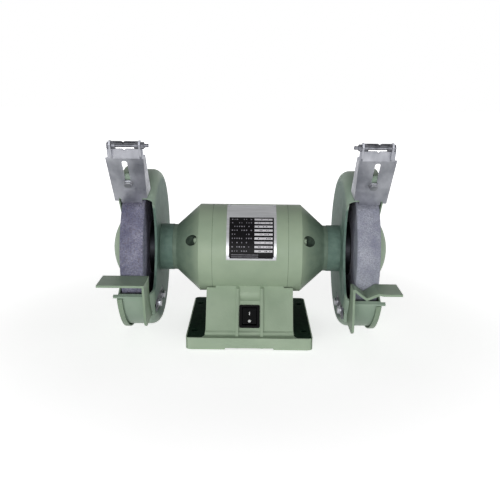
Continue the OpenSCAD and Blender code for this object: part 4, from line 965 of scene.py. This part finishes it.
DOT_RADIUS = 0.0021
DOT_PLACE = -0.0080
BAR_HALF = 0.0006
BAR_FOOT, BAR_TOP = 0.0012, 0.0058
mark_on_rocker("rocker_dot", [
    (DOT_RADIUS * math.cos(turn), DOT_PLACE + DOT_RADIUS * math.sin(turn))
    for turn in (math.tau * i / 32 for i in range(32))
])
mark_on_rocker("rocker_bar", [
    (-BAR_HALF, BAR_FOOT), (BAR_HALF, BAR_FOOT), (BAR_HALF, BAR_TOP), (-BAR_HALF, BAR_TOP),
])

# %% [markdown]
# ## Floor and background
# The machine stands on a plain white floor without a visible edge. For the
# camera and for reflections the floor gives off a little light of its own,
# more with distance, so it turns white without more light on the machine. Near
# the machine it stays a plain matt surface and keeps the soft shadow.

# %% Floor
FLOOR_SIZE = 12.0
GLOW_NEAR = 0.66
GLOW_RISES = (0.25, 0.75)
WHITE = paint("#ffffff")


def seen_directly(tree):
    """1 for the camera, for a reflection and for what shows through a clear thing, else 0."""
    rays = put(tree, "ShaderNodeLightPath").outputs
    seen = rays["Is Camera Ray"]
    for way in ("Is Glossy Ray", "Is Transmission Ray"):
        seen = put(tree, "ShaderNodeMath", {0: seen, 1: rays[way]}, operation="MAXIMUM").outputs[0]
    return seen


def white_floor():
    """Matt white paper that glows towards its edge, for the camera and for reflections only."""
    material = bpy.data.materials.new("matt_white_studio_floor")
    material.use_nodes = True
    tree = material.node_tree
    tree.nodes.clear()
    place = put(tree, "ShaderNodeTexCoord").outputs["Object"]
    away = put(tree, "ShaderNodeVectorMath", {0: place}, operation="LENGTH").outputs["Value"]
    paper = put(tree, "ShaderNodeTexNoise", {"Vector": place, "Scale": per_mm(60)}).outputs["Fac"]
    tint = put(tree, "ShaderNodeMix", {
        0: paper, 6: paint("#f2f2f2"), 7: paint("#f6f6f6"),
    }, data_type="RGBA").outputs[2]
    matt = put(tree, "ShaderNodeBsdfDiffuse", {"Color": tint}).outputs[0]
    start, full = GLOW_RISES
    glow = put(tree, "ShaderNodeMapRange", {
        "Value": away, "From Min": start, "From Max": full, "To Min": GLOW_NEAR, "To Max": 1.0,
    }, interpolation_type="SMOOTHSTEP").outputs[0]
    strength = put(tree, "ShaderNodeMath", {0: glow, 1: seen_directly(tree)}, operation="MULTIPLY").outputs[0]
    light = put(tree, "ShaderNodeEmission", {"Color": WHITE, "Strength": strength}).outputs[0]
    paper_and_glow = put(tree, "ShaderNodeAddShader", {0: matt, 1: light}).outputs[0]
    put(tree, "ShaderNodeOutputMaterial", {"Surface": paper_and_glow})
    return material


floor_mesh = bpy.data.meshes.new("floor")
half = FLOOR_SIZE / 2
corners = [(-half, -half, 0), (half, -half, 0), (half, half, 0), (-half, half, 0)]
floor_mesh.from_pydata(corners, [], [(0, 1, 2, 3)])
floor_mesh.materials.append(white_floor())
floor = bpy.data.objects.new("floor", floor_mesh)
bpy.context.scene.collection.objects.link(floor)
print("floor", FLOOR_SIZE, "m across")

# %% [markdown]
# ## Light
# One large soft lamp stands low behind the viewer, as in a catalogue picture.
# It makes surfaces that face us the brightest and lets the tops fall off. Three
# weaker ones fill the sides and the back, and no surface mirrors them. Each
# guard shades the other from its side lamp, so the faces between stay darker.
# The world adds a little even light, and is white to the camera and to
# reflections.

# %% Lamps and world
TARGET = Vector((0.0, 0.0, 0.11))
LAMP_DISTANCE = 2.8
LAMP_SIZE = (2.0, 0.9)
LAMP_ELEVATION = 6
AMBIENT = 0.11


def soft_lamp(name, azimuth, share, mirrored=False):
    """A long low area lamp aimed at the machine. A share of 1 would show a white card as white."""
    lamp = bpy.data.lights.new(name, "AREA")
    lamp.shape = "RECTANGLE"
    lamp.size, lamp.size_y = LAMP_SIZE
    lamp.energy = (math.pi * LAMP_DISTANCE) ** 2 * share
    holder = bpy.data.objects.new(name, lamp)
    bpy.context.scene.collection.objects.link(holder)
    az, el = math.radians(azimuth), math.radians(LAMP_ELEVATION)
    holder.location = TARGET + LAMP_DISTANCE * Vector((
        math.sin(az) * math.cos(el), -math.cos(az) * math.cos(el), math.sin(el),
    ))
    holder.rotation_euler = (TARGET - holder.location).to_track_quat("-Z", "Y").to_euler()
    holder.visible_camera = False
    holder.visible_glossy = mirrored


soft_lamp("key_lamp", -5, 0.68, mirrored=True)
soft_lamp("left_fill", -90, 0.24)
soft_lamp("right_fill", 90, 0.32)
soft_lamp("rear_fill", 180, 0.28)

world = bpy.data.worlds.new("studio")
bpy.context.scene.world = world
world.use_nodes = True
world.node_tree.nodes.clear()
strength = put(world.node_tree, "ShaderNodeMapRange", {
    "Value": seen_directly(world.node_tree), "To Min": AMBIENT, "To Max": 1.0,
}).outputs[0]
sky = put(world.node_tree, "ShaderNodeBackground", {"Color": WHITE, "Strength": strength}).outputs[0]
put(world.node_tree, "ShaderNodeOutputWorld", {"Surface": sky})
bpy.context.scene.view_settings.view_transform = "Standard"
